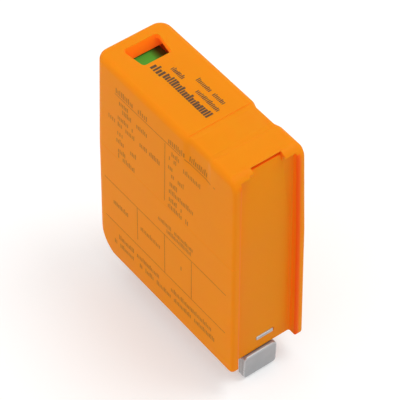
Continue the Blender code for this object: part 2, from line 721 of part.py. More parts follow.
def contact_blade(name, x, direction, stem_top):
    path = [(x + direction * px, pz) for px, pz in hook_path(stem_top)]
    blade = drawn(
        name, strip_outline(path, BLADE_THICKNESS), "Y",
        BLADE_OFFSET - BLADE_WIDTH / 2, BLADE_OFFSET + BLADE_WIDTH / 2, tinned,
    )
    # The free end's two corners are rounded, and both corners of the fold.
    leaf_x = path[-1][0]
    stem_x = x + direction * BLADE_JOGGLE
    leaf = sorted((leaf_x - direction * BLADE_BEND_R, leaf_x + direction * OVER))
    fold = sorted((stem_x - direction * OVER, leaf_x + direction * OVER))
    for side in (-1, 1):
        y = BLADE_OFFSET + side * BLADE_WIDTH / 2
        label = "far" if side > 0 else "near"
        top = drawn("%s_end_%s" % (name, label), corner_waste(y, side, LEAF_TOP, 1), "X", *leaf)
        low = drawn("%s_fold_%s" % (name, label), corner_waste(y, side, -BLADE_REACH, -1), "X", *fold)
        combine(blade, "DIFFERENCE", top, low)
    return blade


def rivet(name, axis, centre, grip_length):
    # A headed pin whose middle is at centre.
    half = grip_length / 2
    profile = [
        (0, half + RIVET_HEAD), (RIVET_HEAD_R * 0.7, half + RIVET_HEAD), (RIVET_HEAD_R, half + SEAT / 3),
        (RIVET_HEAD_R, half), (RIVET_R, half), (RIVET_R, -half), (RIVET_HEAD_R, -half),
        (RIVET_HEAD_R, -half - SEAT / 3), (RIVET_HEAD_R * 0.7, -half - RIVET_HEAD), (0, -half - RIVET_HEAD),
    ]
    turned(name, profile, axis, centre, copper)


def front_contact_blade():
    blade = contact_blade("front_contact_blade", FRONT_STEM_X, 1, FRONT_STEM_TOP)
    # At its top the stem turns a flange towards the arm.
    path = [
        (FRONT_STEM_X, BLADE_OFFSET + BLADE_WIDTH / 2), (FRONT_STEM_X, FLANGE_Y),
        (FRONT_STEM_X - FLANGE_LENGTH, FLANGE_Y),
    ]
    flange = drawn(
        "braid_flange", strip_outline(path, BLADE_THICKNESS), "Z",
        FRONT_STEM_TOP - FLANGE_HEIGHT, FRONT_STEM_TOP,
    )
    hole = drawn(
        "flange_hole", circle((braid_end_x(), PIVOT_Z), RIVET_R + RUN), "Y",
        FLANGE_Y - OVER, FLANGE_Y + OVER,
    )
    # A tab from the stem snaps into the slot in the cover's panel.
    slot_low = PLATE_THICKNESS + SLOT_ABOVE_PLATE
    tab_y0 = SLOT_OFFSET - SLOT_WIDTH / 2 + TAB_FIT
    tab = block(
        "latch_tab", (FRONT_STEM_X, tab_y0, slot_low + TAB_FIT),
        (PANEL_X - TAB_FIT, tab_y0 + TAB_WIDTH, slot_low + SLOT_HEIGHT - TAB_FIT),
    )
    combine(blade, "UNION", flange, tab)
    combine(blade, "DIFFERENCE", hole)


def braid_end_x():
    return FRONT_STEM_X - FLANGE_LENGTH / 2


def rear_contact_blade():
    blade = contact_blade("rear_contact_blade", REAR_BLADE_X, -1, REAR_STEM_TOP)
    hole = drawn(
        "rear_stem_hole", circle((0, lug_z()), RIVET_R + RUN), "X", REAR_BLADE_X - OVER, REAR_BLADE_X + OVER,
    )
    combine(blade, "DIFFERENCE", hole)


def lug_z():
    return REAR_STEM_TOP - RIVET_HEAD_R


def braid_rivet():
    low = FLANGE_Y - BLADE_THICKNESS / 2 - RUN
    high = BRAID_Y + BRAID_THICKNESS / 2 + RUN
    rivet("braid_rivet", "Y", (braid_end_x(), (low + high) / 2, PIVOT_Z), high - low)


def electrode_rivet():
    low = REAR_BLADE_X - BLADE_THICKNESS / 2 - RUN
    high = lug_x() + ELECTRODE_THICKNESS / 2 + RUN
    rivet("electrode_rivet", "X", ((low + high) / 2, 0, lug_z()), high - low)


def lug_x():
    return REAR_BLADE_X + BLADE_THICKNESS / 2 + SEAT + ELECTRODE_THICKNESS / 2


# Varistor and electrodes

def varistor_block():
    made = drawn(
        "varistor_block",
        rectangle((VARISTOR_X0, VARISTOR_LOW), (VARISTOR_X1, VARISTOR_TOP), VARISTOR_CORNER_R),
        "Y", VARISTOR_Y0, VARISTOR_Y1, coating,
    )
    soften(made, EDGE_SOFT)


def electrode_outline():
    low = (VARISTOR_X0 + ELECTRODE_MARGIN, VARISTOR_LOW + ELECTRODE_MARGIN)
    high = (VARISTOR_X1 - ELECTRODE_MARGIN, VARISTOR_TOP - ELECTRODE_MARGIN)
    return rectangle(low, high, VARISTOR_CORNER_R)


def near_electrode():
    plate = drawn(
        "near_electrode", electrode_outline(), "Y", NEAR_PLATE_Y - ELECTRODE_THICKNESS, NEAR_PLATE_Y, copper,
    )
    pad = drawn(
        "solder_pad", circle((PIVOT_X, PIVOT_Z + SOLDER_REACH), PAD_RADIUS), "Y",
        PAD_Y, NEAR_PLATE_Y - ELECTRODE_THICKNESS / 2,
    )
    combine(plate, "UNION", pad)


def far_electrode():
    plate = drawn(
        "far_electrode", electrode_outline(), "Y", FAR_PLATE_Y - ELECTRODE_THICKNESS, FAR_PLATE_Y, copper,
    )
    # A leg runs down past the tray and turns in to lie against the rear blade's stem.
    lug_low = lug_z() - LUG_HEIGHT / 2
    leg_x0 = lug_x()
    middle = FAR_PLATE_Y - ELECTRODE_THICKNESS / 2
    leg = block(
        "electrode_leg", (leg_x0, FAR_PLATE_Y - ELECTRODE_THICKNESS, lug_low),
        (leg_x0 + LEG_WIDTH, FAR_PLATE_Y, VARISTOR_LOW + VARISTOR_CORNER_R + 2 * ELECTRODE_MARGIN),
    )
    path = [(leg_x0 + LEG_WIDTH, middle), (leg_x0, middle), (leg_x0, BLADE_OFFSET - BLADE_WIDTH / 4)]
    lug = drawn(
        "electrode_lug", strip_outline(path, ELECTRODE_THICKNESS), "Z", lug_low, lug_low + LUG_HEIGHT,
    )
    hole = drawn(
        "lug_hole", circle((0, lug_z()), RIVET_R + RUN), "X", leg_x0 - OVER, leg_x0 + OVER,
    )
    combine(plate, "UNION", leg, lug)
    combine(plate, "DIFFERENCE", hole)


def solder_joint():
    drawn(
        "solder_joint", circle((PIVOT_X, PIVOT_Z + SOLDER_REACH), PAD_RADIUS - SEAT), "Y",
        SOLDER_Y, SOLDER_Y + SOLDER_THICKNESS, solder,
    )


# Mechanism frame: a wall between the varistor and the slider, with its tray, rails and post

def mechanism_frame():
    tray_x0 = VARISTOR_X0 - SEAT - TRAY_WALL
    tray_x1 = VARISTOR_X1 + SEAT + TRAY_WALL
    tray_top = VARISTOR_TOP + SEAT + TRAY_WALL
    low = PLATE_THICKNESS + SEAT
    clear_x = lug_x() + ELECTRODE_THICKNESS / 2 + RIVET_HEAD + 2 * SEAT
    shelf_z = RED_TOP - RED_THICKNESS - SEAT
    wall = [
        (clear_x, low), (tray_x1, low), (tray_x1, RED_TOP), (FLAG_X1 + SLIDE_GAP, RED_TOP),
        (FLAG_X1 + SLIDE_GAP, shelf_z), (POST_X0, shelf_z),
        (POST_X0, SPRING_Z - SPRING_R - 2 * SEAT), (tray_x0, SPRING_Z - SPRING_R - 2 * SEAT - TRAY_WALL),
        (tray_x0, TRAY_LOW), (clear_x, TRAY_LOW),
    ]
    frame = drawn(
        "mechanism_frame", wall, "Y", FRAME_Y0, FRAME_Y1, natural,
        holes=(circle((PIVOT_X, PIVOT_Z + SOLDER_REACH), PAD_RADIUS + 2 * SEAT),),
    )
    tray = drawn(
        "varistor_tray",
        rectangle((tray_x0, TRAY_LOW), (tray_x1, tray_top), VARISTOR_CORNER_R + TRAY_WALL), "Y",
        (FRAME_Y0 + FRAME_Y1) / 2, VARISTOR_Y1,
        holes=(
            rectangle(
                (tray_x0 + TRAY_WALL, TRAY_LOW + TRAY_WALL), (tray_x1 - TRAY_WALL, tray_top - TRAY_WALL),
                VARISTOR_CORNER_R,
            ),
        ),
    )
    inside = (FRAME_Y0 + FRAME_Y1) / 2
    upper_rail = block(
        "upper_rail", (FLAG_X1 + SLIDE_GAP, RAIL_Y0, RED_TOP - RAIL_HEIGHT), (tray_x1, inside, RED_TOP),
    )
    shelf = block(
        "red_shelf", (POST_X0, RAIL_Y0, shelf_z - TRAY_WALL),
        (FLAG_X1 - SEAT, FLAG_FAR_EDGE - SEAT, shelf_z),
    )
    # The post steps back at its top to let the slider's beam pass.
    post_low = SPRING_Z - SPRING_R - SEAT
    post_top = CARRIER_TOP - BEAM_HEIGHT - SLIDE_GAP
    step_y = BEAM_Y1 + SLIDE_GAP
    post = drawn(
        "spring_post",
        [
            (SLIDER_Y0, post_low), (inside, post_low), (inside, shelf_z - TRAY_WALL / 2),
            (step_y, shelf_z - TRAY_WALL / 2), (step_y, post_top), (SLIDER_Y0, post_top),
        ],
        "X", POST_X0, POST_X0 + POST_THICKNESS,
        holes=(circle((SPRING_Y, SPRING_Z), GUIDE_R + RUN),),
    )
    lug_top = SLIDER_LOW - SLIDE_GAP
    lug_y0 = FOOT_Y1 + SEAT
    rear_lug = block(
        "rear_slider_rest", (SLIDER_X0, lug_y0, lug_top - RAIL_HEIGHT),
        (NOSE_X - NOSE_R, inside, lug_top),
    )
    swing = math.tan(TRIP_TRAVEL / NOSE_REACH) * (lug_top - PIVOT_Z)
    front_lug = block(
        "front_slider_rest", (PIVOT_X + ARM_WIDTH / 2 + swing + OVER, lug_y0, lug_top - RAIL_HEIGHT),
        (tray_x1, inside, lug_top),
    )
    boss = drawn(
        "pivot_boss", circle((PIVOT_X, PIVOT_Z), 2.5 * PIVOT_R), "Y", BOSS_Y, inside,
    )
    pivot_hole = drawn(
        "pivot_hole", circle((PIVOT_X, PIVOT_Z), PIVOT_R + RUN), "Y", BOSS_Y - OVER, FRAME_Y1 + OVER,
    )
    combine(frame, "UNION", tray, upper_rail, shelf, post, rear_lug, front_lug, boss)
    combine(frame, "DIFFERENCE", pivot_hole)


# Disconnector

def disconnect_arm():
    half = ARM_WIDTH / 2
    outline = rounded(
        [(-half, -half), (half, -half), (half, ARM_REACH), (-half, ARM_REACH)],
        [half * 0.98, half * 0.98, half / 3, half / 3],
    )
    drawn(
        "disconnect_arm", outline, "Y", ARM_Y0, ARM_Y1, copper,
        holes=(circle((0, 0), PIVOT_R + RUN),), at=(PIVOT_X, 0, PIVOT_Z),
    )


def pivot_pin():
    low = BRAID_Y - BRAID_THICKNESS / 2 - SEAT
    made = drawn(
        "pivot_pin", circle((PIVOT_X, PIVOT_Z), 2 * PIVOT_R), "Y", low - PIN_HEAD, low, steel,
    )
    shank = drawn(
        "pivot_shank", circle((PIVOT_X, PIVOT_Z), PIVOT_R), "Y", low - PIN_HEAD / 2, FRAME_Y1 - SEAT,
    )
    combine(made, "UNION", shank)


def braided_link():
    # A flat braid with one wave in it, from the flange to an eyelet on the pivot.
    wave_x0 = PIVOT_X + 2.5 * PIVOT_R + SEAT
    wave_x1 = FRONT_STEM_X - FLANGE_LENGTH - SEAT
    path = [(braid_end_x() + RIVET_HEAD_R, BRAID_Y)]
    steps = 12
    for i in range(steps + 1):
        x = wave_x1 + (wave_x0 - wave_x1) * i / steps
        path.append((x, BRAID_Y - BRAID_WAVE * (1 - math.cos(2 * math.pi * i / steps)) / 2))
    path.append((PIVOT_X, BRAID_Y))
    made = drawn(
        "braided_link", strip_outline(path, BRAID_THICKNESS), "Z",
        PIVOT_Z - BRAID_WIDTH / 2, PIVOT_Z + BRAID_WIDTH / 2, copper,
    )
    eyelet = drawn(
        "braid_eyelet", circle((PIVOT_X, PIVOT_Z), BRAID_WIDTH / 2 + EYELET_LAP), "Y",
        BRAID_Y - BRAID_THICKNESS / 2, BRAID_Y + BRAID_THICKNESS / 2,
    )
    hole = drawn(
        "eyelet_hole", circle((PIVOT_X, PIVOT_Z), PIVOT_R + RUN), "Y", BRAID_Y - OVER, BRAID_Y + OVER,
    )
    rivet_hole = drawn(
        "braid_hole", circle((braid_end_x(), PIVOT_Z), RIVET_R + RUN), "Y", BRAID_Y - OVER, BRAID_Y + OVER,
    )
    combine(made, "UNION", eyelet)
    combine(made, "DIFFERENCE", hole, rivet_hole)


# Trip slider and status flag

def trip_slider():
    outline = rectangle((SLIDER_X0, SLIDER_LOW), (SLIDER_X1, SLIDER_TOP), 2 * SMALL_CORNER_R)
    web_y0 = SLIDER_Y1 - WEB_THICKNESS
    slider = drawn("trip_slider", outline, "Y", web_y0, SLIDER_Y1, natural)
    opening = rectangle(
        (SLIDER_X0 + RIM_WIDTH, SLIDER_LOW + RIM_WIDTH), (SLIDER_X1 - RIM_WIDTH, SLIDER_TOP - RIM_WIDTH),
        SMALL_CORNER_R,
    )
    rim = drawn("slider_rim", outline, "Y", SLIDER_Y0, web_y0 + WEB_THICKNESS / 2, holes=(opening,))
    ribs = []
    for i in range(2):
        z = SLIDER_LOW + SLIDER_HEIGHT * (i + 1) / 4
        ribs.append(
            block(
                "slider_rib_%d" % (i + 1),
                (SLIDER_X0 + RIM_WIDTH / 2, SLIDER_Y0 + RIM_WIDTH, z - RIM_WIDTH / 2),
                (SLIDER_X1 - RIM_WIDTH / 2, web_y0 + WEB_THICKNESS / 2, z + RIM_WIDTH / 2),
            )
        )
    beam = block(
        "flag_beam", (FLAG_X0, SLIDER_Y0, CARRIER_TOP - BEAM_HEIGHT),
        (SLIDER_X0 + RISER_LENGTH, BEAM_Y1, CARRIER_TOP),
    )
    riser = block(
        "beam_riser", (SLIDER_X0, SLIDER_Y0, SLIDER_TOP - 2 * RIM_WIDTH),
        (SLIDER_X0 + RISER_LENGTH, BEAM_Y1, CARRIER_TOP),
    )
    carrier = drawn(
        "flag_carrier", rectangle((FLAG_X0, SLIDER_Y0), (FLAG_X1, FLAG_FAR_EDGE - SEAT), SMALL_CORNER_R),
        "Z", CARRIER_TOP - CARRIER_THICKNESS, CARRIER_TOP,
        holes=(circle(flag_peg_place(), FLAG_PEG_R + RUN),),
    )
    foot = block(
        "signal_foot", (SLIDER_X0, FOOT_Y0, FOOT_LOW),
        (SLIDER_X0 + FOOT_WIDTH, FOOT_Y1, SLIDER_LOW + RIM_WIDTH),
    )
    nose = drawn(
        "arm_nose", circle((NOSE_X, PIVOT_Z + NOSE_REACH), NOSE_R), "Y",
        SLIDER_Y1 - WEB_THICKNESS / 2, ARM_Y1 - SOLDER_SEAT,
    )
    pin_hole = drawn(
        "guide_hole", circle((SPRING_Y, SPRING_Z), GUIDE_R + SLIDE_GAP), "X",
        SLIDER_X0 - OVER, SLIDER_X0 + RIM_WIDTH + OVER / 2,
    )
    combine(slider, "UNION", rim, *ribs, beam, riser, carrier, foot, nose)
    combine(slider, "DIFFERENCE", pin_hole)


def flag_peg_place():
    return ((FLAG_X0 + FLAG_X1) / 2, FLAG_FAR_EDGE - FLAG_PEG_INSET)


def status_flag_green():
    low = CARRIER_TOP + SEAT
    flag = drawn(
        "status_flag_green",
        rectangle((FLAG_X0, SLIDER_Y0 + OVER), (FLAG_X1, FLAG_FAR_EDGE), SMALL_CORNER_R),
        "Z", low, FLAG_TOP, green,
    )
    peg = drawn(
        "flag_peg", circle(flag_peg_place(), FLAG_PEG_R), "Z",
        CARRIER_TOP - CARRIER_THICKNESS, low + FLAG_THICKNESS / 2,
    )
    combine(flag, "UNION", peg)


def status_plate_red():
    drawn(
        "status_plate_red",
        rectangle((POST_X0, RAIL_Y0), (FLAG_X1 - SEAT, FLAG_FAR_EDGE - SEAT), SMALL_CORNER_R), "Z",
        RED_TOP - RED_THICKNESS, RED_TOP, red,
    )


def slider_spring():
    # Compression spring with its two end turns closed flat.
    curve = bpy.data.curves.new("slider_spring", "CURVE")
    curve.dimensions = "3D"
    curve.bevel_depth = SPRING_WIRE_R
    curve.bevel_resolution = 1
    curve.use_fill_caps = True
    per_turn = 12
    count = SPRING_TURNS * per_turn
    spline = curve.splines.new("POLY")
    spline.points.add(count)
    x0 = SPRING_X0 + SPRING_WIRE_R
    x1 = SPRING_X1 - SPRING_WIRE_R
    closed = 2.4 * SPRING_WIRE_R
    for i, point in enumerate(spline.points):
        turn = i / per_turn
        if turn < 1:
            x = x0 + closed * turn
        elif turn > SPRING_TURNS - 1:
            x = x1 - closed * (SPRING_TURNS - turn)
        else:
            share = (turn - 1) / (SPRING_TURNS - 2)
            x = x0 + closed + (x1 - x0 - 2 * closed) * share
        angle = 2 * math.pi * turn
        point.co = (x, SPRING_Y + SPRING_R * math.cos(angle), SPRING_Z + SPRING_R * math.sin(angle), 1)
    made = bpy.data.objects.new("slider_spring", curve)
    curve.materials.append(steel)
    parts.objects.link(made)


def spring_guide_pin():
    x0 = POST_X0 + SEAT
    x1 = SLIDER_X0 + RIM_WIDTH / 2
    profile = [
        (0, x1), (GUIDE_R * 0.6, x1), (GUIDE_R, x1 - GUIDE_R * 0.5), (GUIDE_R, x0), (0, x0),
    ]
    turned("spring_guide_pin", profile, "X", (0, SPRING_Y, SPRING_Z), steel)


housing_cover()
base_plate()
coding_pegs()
mechanism_frame()
varistor_block()
near_electrode()
far_electrode()
front_contact_blade()
rear_contact_blade()
braid_rivet()
electrode_rivet()
solder_joint()
disconnect_arm()
pivot_pin()
braided_link()
trip_slider()
status_flag_green()
status_plate_red()
slider_spring()
spring_guide_pin()
bpy.context.view_layer.update()
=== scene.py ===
import math

import bmesh
import bpy
from mathutils import Matrix, Vector
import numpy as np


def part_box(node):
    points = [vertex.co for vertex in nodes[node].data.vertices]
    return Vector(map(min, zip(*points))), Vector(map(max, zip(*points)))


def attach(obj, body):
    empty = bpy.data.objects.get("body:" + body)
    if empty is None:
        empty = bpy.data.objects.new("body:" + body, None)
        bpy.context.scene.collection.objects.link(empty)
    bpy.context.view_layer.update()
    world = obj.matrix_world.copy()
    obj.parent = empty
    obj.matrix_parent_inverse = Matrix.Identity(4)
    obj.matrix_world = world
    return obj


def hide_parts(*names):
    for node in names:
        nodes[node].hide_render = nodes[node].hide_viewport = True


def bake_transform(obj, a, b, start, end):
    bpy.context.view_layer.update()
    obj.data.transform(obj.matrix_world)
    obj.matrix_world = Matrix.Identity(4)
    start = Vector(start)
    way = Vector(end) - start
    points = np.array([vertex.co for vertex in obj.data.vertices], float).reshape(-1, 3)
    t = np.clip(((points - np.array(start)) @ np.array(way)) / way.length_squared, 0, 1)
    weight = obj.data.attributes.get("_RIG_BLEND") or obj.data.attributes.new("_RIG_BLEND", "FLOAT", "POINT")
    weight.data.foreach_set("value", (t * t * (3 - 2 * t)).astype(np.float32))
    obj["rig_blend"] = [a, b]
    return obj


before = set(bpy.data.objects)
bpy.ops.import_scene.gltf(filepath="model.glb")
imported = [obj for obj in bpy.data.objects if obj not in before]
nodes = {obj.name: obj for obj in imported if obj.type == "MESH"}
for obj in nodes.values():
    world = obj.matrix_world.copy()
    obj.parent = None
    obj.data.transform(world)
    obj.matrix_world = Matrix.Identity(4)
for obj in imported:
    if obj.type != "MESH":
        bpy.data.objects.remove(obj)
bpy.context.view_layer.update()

mm = 0.001
scene = bpy.context.scene
straightUp = Vector((0, 0, 1))


# One class wraps a socket, so that sums on shader and geometry values read as sums.
class Wire:
    def __init__(self, desk, socket):
        self.desk, self.socket = desk, socket

    def sum(self, operation, *given):
        return self.desk.node("ShaderNodeMath", {"operation": operation}, dict(enumerate(given)))

    def __add__(self, other):
        return self.sum("ADD", self, other)

    def __sub__(self, other):
        return self.sum("SUBTRACT", self, other)

    def __mul__(self, other):
        return self.sum("MULTIPLY", self, other)

    def __truediv__(self, other):
        return self.sum("DIVIDE", self, other)

    def __mod__(self, other):
        return self.sum("MODULO", self, other)

    def __gt__(self, other):
        return self.sum("GREATER_THAN", self, other)

    def __lt__(self, other):
        return self.sum("LESS_THAN", self, other)

    def __rsub__(self, other):
        return self.sum("SUBTRACT", other, self)

    __radd__ = __add__
    __rmul__ = __mul__

    def waved(self, operation="SINE"):
        return self.sum(operation, self)

    def beside(self, label):
        # Another output of the same node
        return Wire(self.desk, self.socket.node.outputs[label])

    def within(self, low, high):
        return self.sum("MAXIMUM", self.sum("MINIMUM", self, high), low)

    def floored(self):
        return self.sum("FLOOR", self)

    def ramp(self, width):
        # From 0 up to 1 over a width in millimetres
        return (self * (1 / (width * mm))).within(0, 1)


class Desk:
    # A node tree with one method that adds any node.
    def __init__(self, tree):
        self.tree = tree

    def node(self, kind, settings=None, sockets=None, output=0):
        made = self.tree.nodes.new(kind)
        for key, value in (settings or {}).items():
            setattr(made, key, value)
        for key, value in (sockets or {}).items():
            self.feed(made.inputs[key], value)
        return Wire(self, made.outputs[output])

    def feed(self, socket, value):
        if isinstance(value, Wire):
            self.tree.links.new(value.socket, socket)
        else:
            socket.default_value = value

    def ray(self, kind):
        return self.node("ShaderNodeLightPath", output="Is " + kind + " Ray")


class Finish(Desk):
    # A material whose shader is the Principled one.
    def __init__(self, name, **constants):
        self.material = bpy.data.materials.new(name)
        self.material.use_nodes = True
        super().__init__(self.material.node_tree)
        self.shader = self.tree.nodes["Principled BSDF"]
        for key, value in constants.items():
            self.shader.inputs[key.replace("_", " ")].default_value = value
        self.place = self.node("ShaderNodeTexCoord", output="Object")

    def noise(self, size, detail, stretch=(1, 1, 1), roughness=0.5):
        # size is the width of a patch in millimetres; stretch lengthens it along an axis
        scale = tuple(1 / s for s in stretch)
        spread = self.node("ShaderNodeMapping", sockets={"Vector": self.place, "Scale": scale})
        given = {"Vector": spread, "Scale": 1 / (size * mm), "Detail": detail, "Roughness": roughness}
        return self.node("ShaderNodeTexNoise", {}, given)

    def blended(self, share, first, second):
        given = {0: share, 6: self.colour(first), 7: self.colour(second)}
        return self.node("ShaderNodeMix", {"data_type": "RGBA"}, given, output=2)

    def colour(self, value):
        return value if isinstance(value, Wire) else (*value, 1)

    def softNormal(self, radius):
        return self.node("ShaderNodeBevel", {"samples": 6}, {"Radius": radius * mm})

    def edges(self, radius, gain):
        # 0 on flats, towards 1 where the surface turns within the radius
        pair = {0: self.softNormal(radius), 1: self.node("ShaderNodeNewGeometry", output="Normal")}
        dot = self.node("ShaderNodeVectorMath", {"operation": "DOT_PRODUCT"}, pair, output="Value")
        return ((1 - dot) * gain).within(0, 1)

    def openness(self, depth):
        # 1 on open faces, towards 0 inside a recess
        return self.node("ShaderNodeAmbientOcclusion", {"samples": 6}, {"Distance": depth * mm}, output="AO")

    def along(self, axis):
        return self.node("ShaderNodeSeparateXYZ", {}, {"Vector": self.place}, output=axis)

    def bump(self, height, distance, strength, radius=0):
        given = {"Height": height, "Distance": distance * mm, "Strength": strength}
        if radius:
            given["Normal"] = self.softNormal(radius)
        self.feed(self.shader.inputs["Normal"], self.node("ShaderNodeBump", {}, given))

    def set(self, socket, value):
        self.feed(self.shader.inputs[socket], value)


plastic = {
    "orange": (0.855, 0.258, 0.005),
    "orangeDeep": (0.825, 0.244, 0.004),
    "orangeEdgeHighlight": (0.89, 0.285, 0.010),
    # painted light: recesses painted a redder orange, for light bounced inside them
    "paintedRecessRed": {"colour": (1.0, 0.165, 0.005), "openness": 0.86, "gain": 2.4, "depth": 3.0},
    "paintedGlow": {  # painted glow: gain and offset on the openness, in the window's well and in other recesses
        "colour": (0.38, 0.044, 0.004), "well": (4, 0.5), "recess": (3, 0.9), "recessShare": 0.34,
        "wellBox": ((-19.6, -5.8, 48.0), (-12.0, 5.8, 52.42)),
    },
    "paintedLipGlow": {  # painted glow: where the red on the lips starts, and over what width it fades: across, out and up
        "colour": (0.93, 0.115, 0.008), "length": 21.75, "width": 7.90, "draft": 0.0127, "top": 51.3,
        "fades": (0.5, 0.4, 0.333), "farShare": 0.95, "nearShare": 0.35,
    },
    "grain": 0.22, "grainDepth": 0.006, "grainRough": 0.10,  # the mould's grain: its width and height, mm
    "mottle": 9.0, "mottleRough": 0.10, "edgeRadius": 0.14, "edgeGain": 2.2,
    "throughScale": 2.0, "throughRadius": (1.0, 0.20, 0.05),
}


def mouldedPlastic(
    name, base, deep, edge, roughness=0.48, grainDepth=plastic["grainDepth"], glow=0.0,
    paintedRecessRed=None, lips=None, paintedShadow=None,
):
    made = Finish(name, IOR=1.5, Specular_IOR_Level=0.06, Subsurface_Weight=glow)
    if glow:
        made.set("Subsurface Radius", plastic["throughRadius"])
        made.set("Subsurface Scale", plastic["throughScale"] * mm)
    cloud = made.noise(plastic["mottle"], 2)
    grain = made.noise(plastic["grain"], 2, roughness=0.6)
    body = made.blended(cloud, deep, base)
    # Painted highlight: the edges are painted lighter
    body = made.blended(made.edges(plastic["edgeRadius"] * 1.6, plastic["edgeGain"]), body, edge)
    # Painted light: recesses are painted a redder orange for bounced light; seen is the openness, closed the
    # share of that paint
    if paintedRecessRed:
        made.seen = made.openness(paintedRecessRed["depth"])
        made.closed = ((paintedRecessRed["openness"] - made.seen) * paintedRecessRed["gain"]).within(0, 1)
        body = made.blended(made.closed, body, paintedRecessRed["colour"])
    if lips:
        # Painted light: the two lips are painted redder along their inner edges, the far one more; thin is
        # the share of that painted glow
        x, y, z = [made.along(axis) for axis in "XYZ"]
        acrossFade, outFade, topFade = lips["fades"]
        across = lips["width"] * mm - z * lips["draft"] - y.sum("ABSOLUTE", y)
        out = x - (lips["length"] - outFade / 2) * mm + z * lips["draft"]
        thin = across.ramp(acrossFade) * out.ramp(outFade) * (lips["top"] * mm - z).ramp(topFade)
        thin = thin * (lips["nearShare"] + (y > 0) * (lips["farShare"] - lips["nearShare"]))
        body = made.blended(thin, body, lips["colour"])
    # Painted shadow: past a given y the colour turns dark
    if paintedShadow:
        past = (made.along("Y") - paintedShadow["from"] * mm).ramp(paintedShadow["fade"])
        body = made.blended(past * paintedShadow["share"], body, paintedShadow["colour"])
    made.set("Base Color", body)
    rough = roughness + (cloud - 0.5) * plastic["mottleRough"]
    made.set("Roughness", rough + (grain - 0.5) * plastic["grainRough"])
    made.bump(grain, grainDepth, 0.6, plastic["edgeRadius"])
    return made


def paintedGlow(made):
    # Painted light: the walls glow red as if lit through them: most in the window's well, some in wide
    # recesses, none in gaps
    lit = plastic["paintedGlow"]
    share, well = [(made.seen * gain - less).within(0, 1) for gain, less in (lit["recess"], lit["well"])]
    share = made.closed * share * lit["recessShare"]
    for axis, low, high in zip("XYZ", *lit["wellBox"]):
        well = well * (made.along(axis) > low * mm) * (made.along(axis) < high * mm)
    made.set("Emission Color", made.blended(share.sum("MAXIMUM", share, well), (0, 0, 0), lit["colour"]))
    made.set("Emission Strength", 1.0)
    return made


metal = {
    "streak": 0.05, "streakLength": 60, "streakDepth": 0.002, "streakRough": 0.12,
    "patch": 2.6, "patchRough": 0.16, "edgeRadius": 0.1, "rubbedAndHighlitRadius": 0.5, "rubbedAndHighlitGain": 8,
}


def stripMetal(name, base, dull, roughness, along=2, rubbedAndHighlitColour=None, metallic=1.0):
    # Rolled strip: fine streaks along one axis and slow dull patches, with its edges painted lighter: partly
    # rubbed bright, partly a painted highlight
    made = Finish(name, Metallic=metallic)
    stretch = [1, 1, 1]
    stretch[along] = metal["streakLength"]
    streak = made.noise(metal["streak"], 2, tuple(stretch))
    patch = made.noise(metal["patch"], 3)
    colour = made.blended((patch * 1.6 - 0.4 + (streak - 0.5) * 0.5).within(0, 1), dull, base)
    if rubbedAndHighlitColour:
        rubbedAndHighlitMask = made.edges(metal["rubbedAndHighlitRadius"], metal["rubbedAndHighlitGain"])
        colour = made.blended(rubbedAndHighlitMask, colour, rubbedAndHighlitColour)
        made.set("Metallic", metallic - rubbedAndHighlitMask * 0.5)
    made.set("Base Color", colour)
    rough = roughness + (patch - 0.5) * metal["patchRough"]
    made.set("Roughness", rough + (streak - 0.5) * metal["streakRough"])
    made.bump(streak, metal["streakDepth"], 0.5, metal["edgeRadius"])
    return made.material


braid = {
    "pitch": 0.55, "deep": 0.05, "shadow": (0.30, 0.12, 0.07), "paintedCrownHighlight": (0.90, 0.52, 0.34),
    "dullest": 0.42, "polish": 0.14,
}


def braidedStrip(name):
    # A flat plait: two sets of strands at 45 degrees that pass over and under each other.
    # The first strand starts a metre away, so that no place on the link is below 0.
    made = Finish(name, Metallic=1.0)
    x, z = made.along("X"), made.along("Z")
    first, second = [(way + 1) / (braid["pitch"] * mm) for way in (x + z, x - z)]
    over = (first.floored() + second.floored()) % 2
    rounds = [((way - way.floored()) * math.pi).waved() for way in (first, second)]
    height = over * rounds[0] + (1 - over) * rounds[1]
    # Painted shade in the hollows between strands and painted highlight on their crowns
    made.set("Base Color", made.blended(height, braid["shadow"], braid["paintedCrownHighlight"]))
    made.set("Roughness", braid["dullest"] - height * braid["polish"])
    made.bump(height, braid["deep"], 0.8)
    return made.material


def dippedCoating(name, base, deep):
    # Thick glossy lacquer with slow sags and a few pin holes
    made = Finish(name, IOR=1.52, Coat_Roughness=0.12)
    sag = made.noise(3.2, 2, (1, 1, 1.8))
    fleck = made.noise(0.35, 3)
    made.set("Base Color", made.blended((sag * 1.4 - 0.2).within(0, 1), deep, base))
    made.set("Roughness", 0.30 + (sag - 0.5) * 0.2 + (fleck > 0.68) * 0.2)
    made.set("Coat Weight", 0.35 + (sag - 0.5) * 0.3)
    made.bump(sag + fleck * 0.05, 0.12, 0.5)
    return made.material


def castSolder(name):
    made = Finish(name, Metallic=1.0)
    cells = {"Vector": made.place, "Scale": 1 / (0.5 * mm)}
    crystal = made.node("ShaderNodeTexVoronoi", {"feature": "F1"}, cells, output="Color")
    facet = made.node("ShaderNodeSeparateColor", {}, {"Color": crystal})
    made.set("Base Color", made.blended(facet, (0.50, 0.50, 0.52), (0.68, 0.68, 0.69)))
    made.set("Roughness", 0.34 + facet * 0.14)
    made.bump(made.noise(0.8, 3), 0.03, 0.6)
    return made.material


def printInk(name, base, thin):
    made = Finish(name, Specular_IOR_Level=0.09)
    patch = made.noise(0.5, 3)
    made.set("Base Color", made.blended((patch * 2 - 0.6).within(0, 1), thin, base))
    made.set("Roughness", 0.5 + (patch - 0.5) * 0.1)
    return made.material


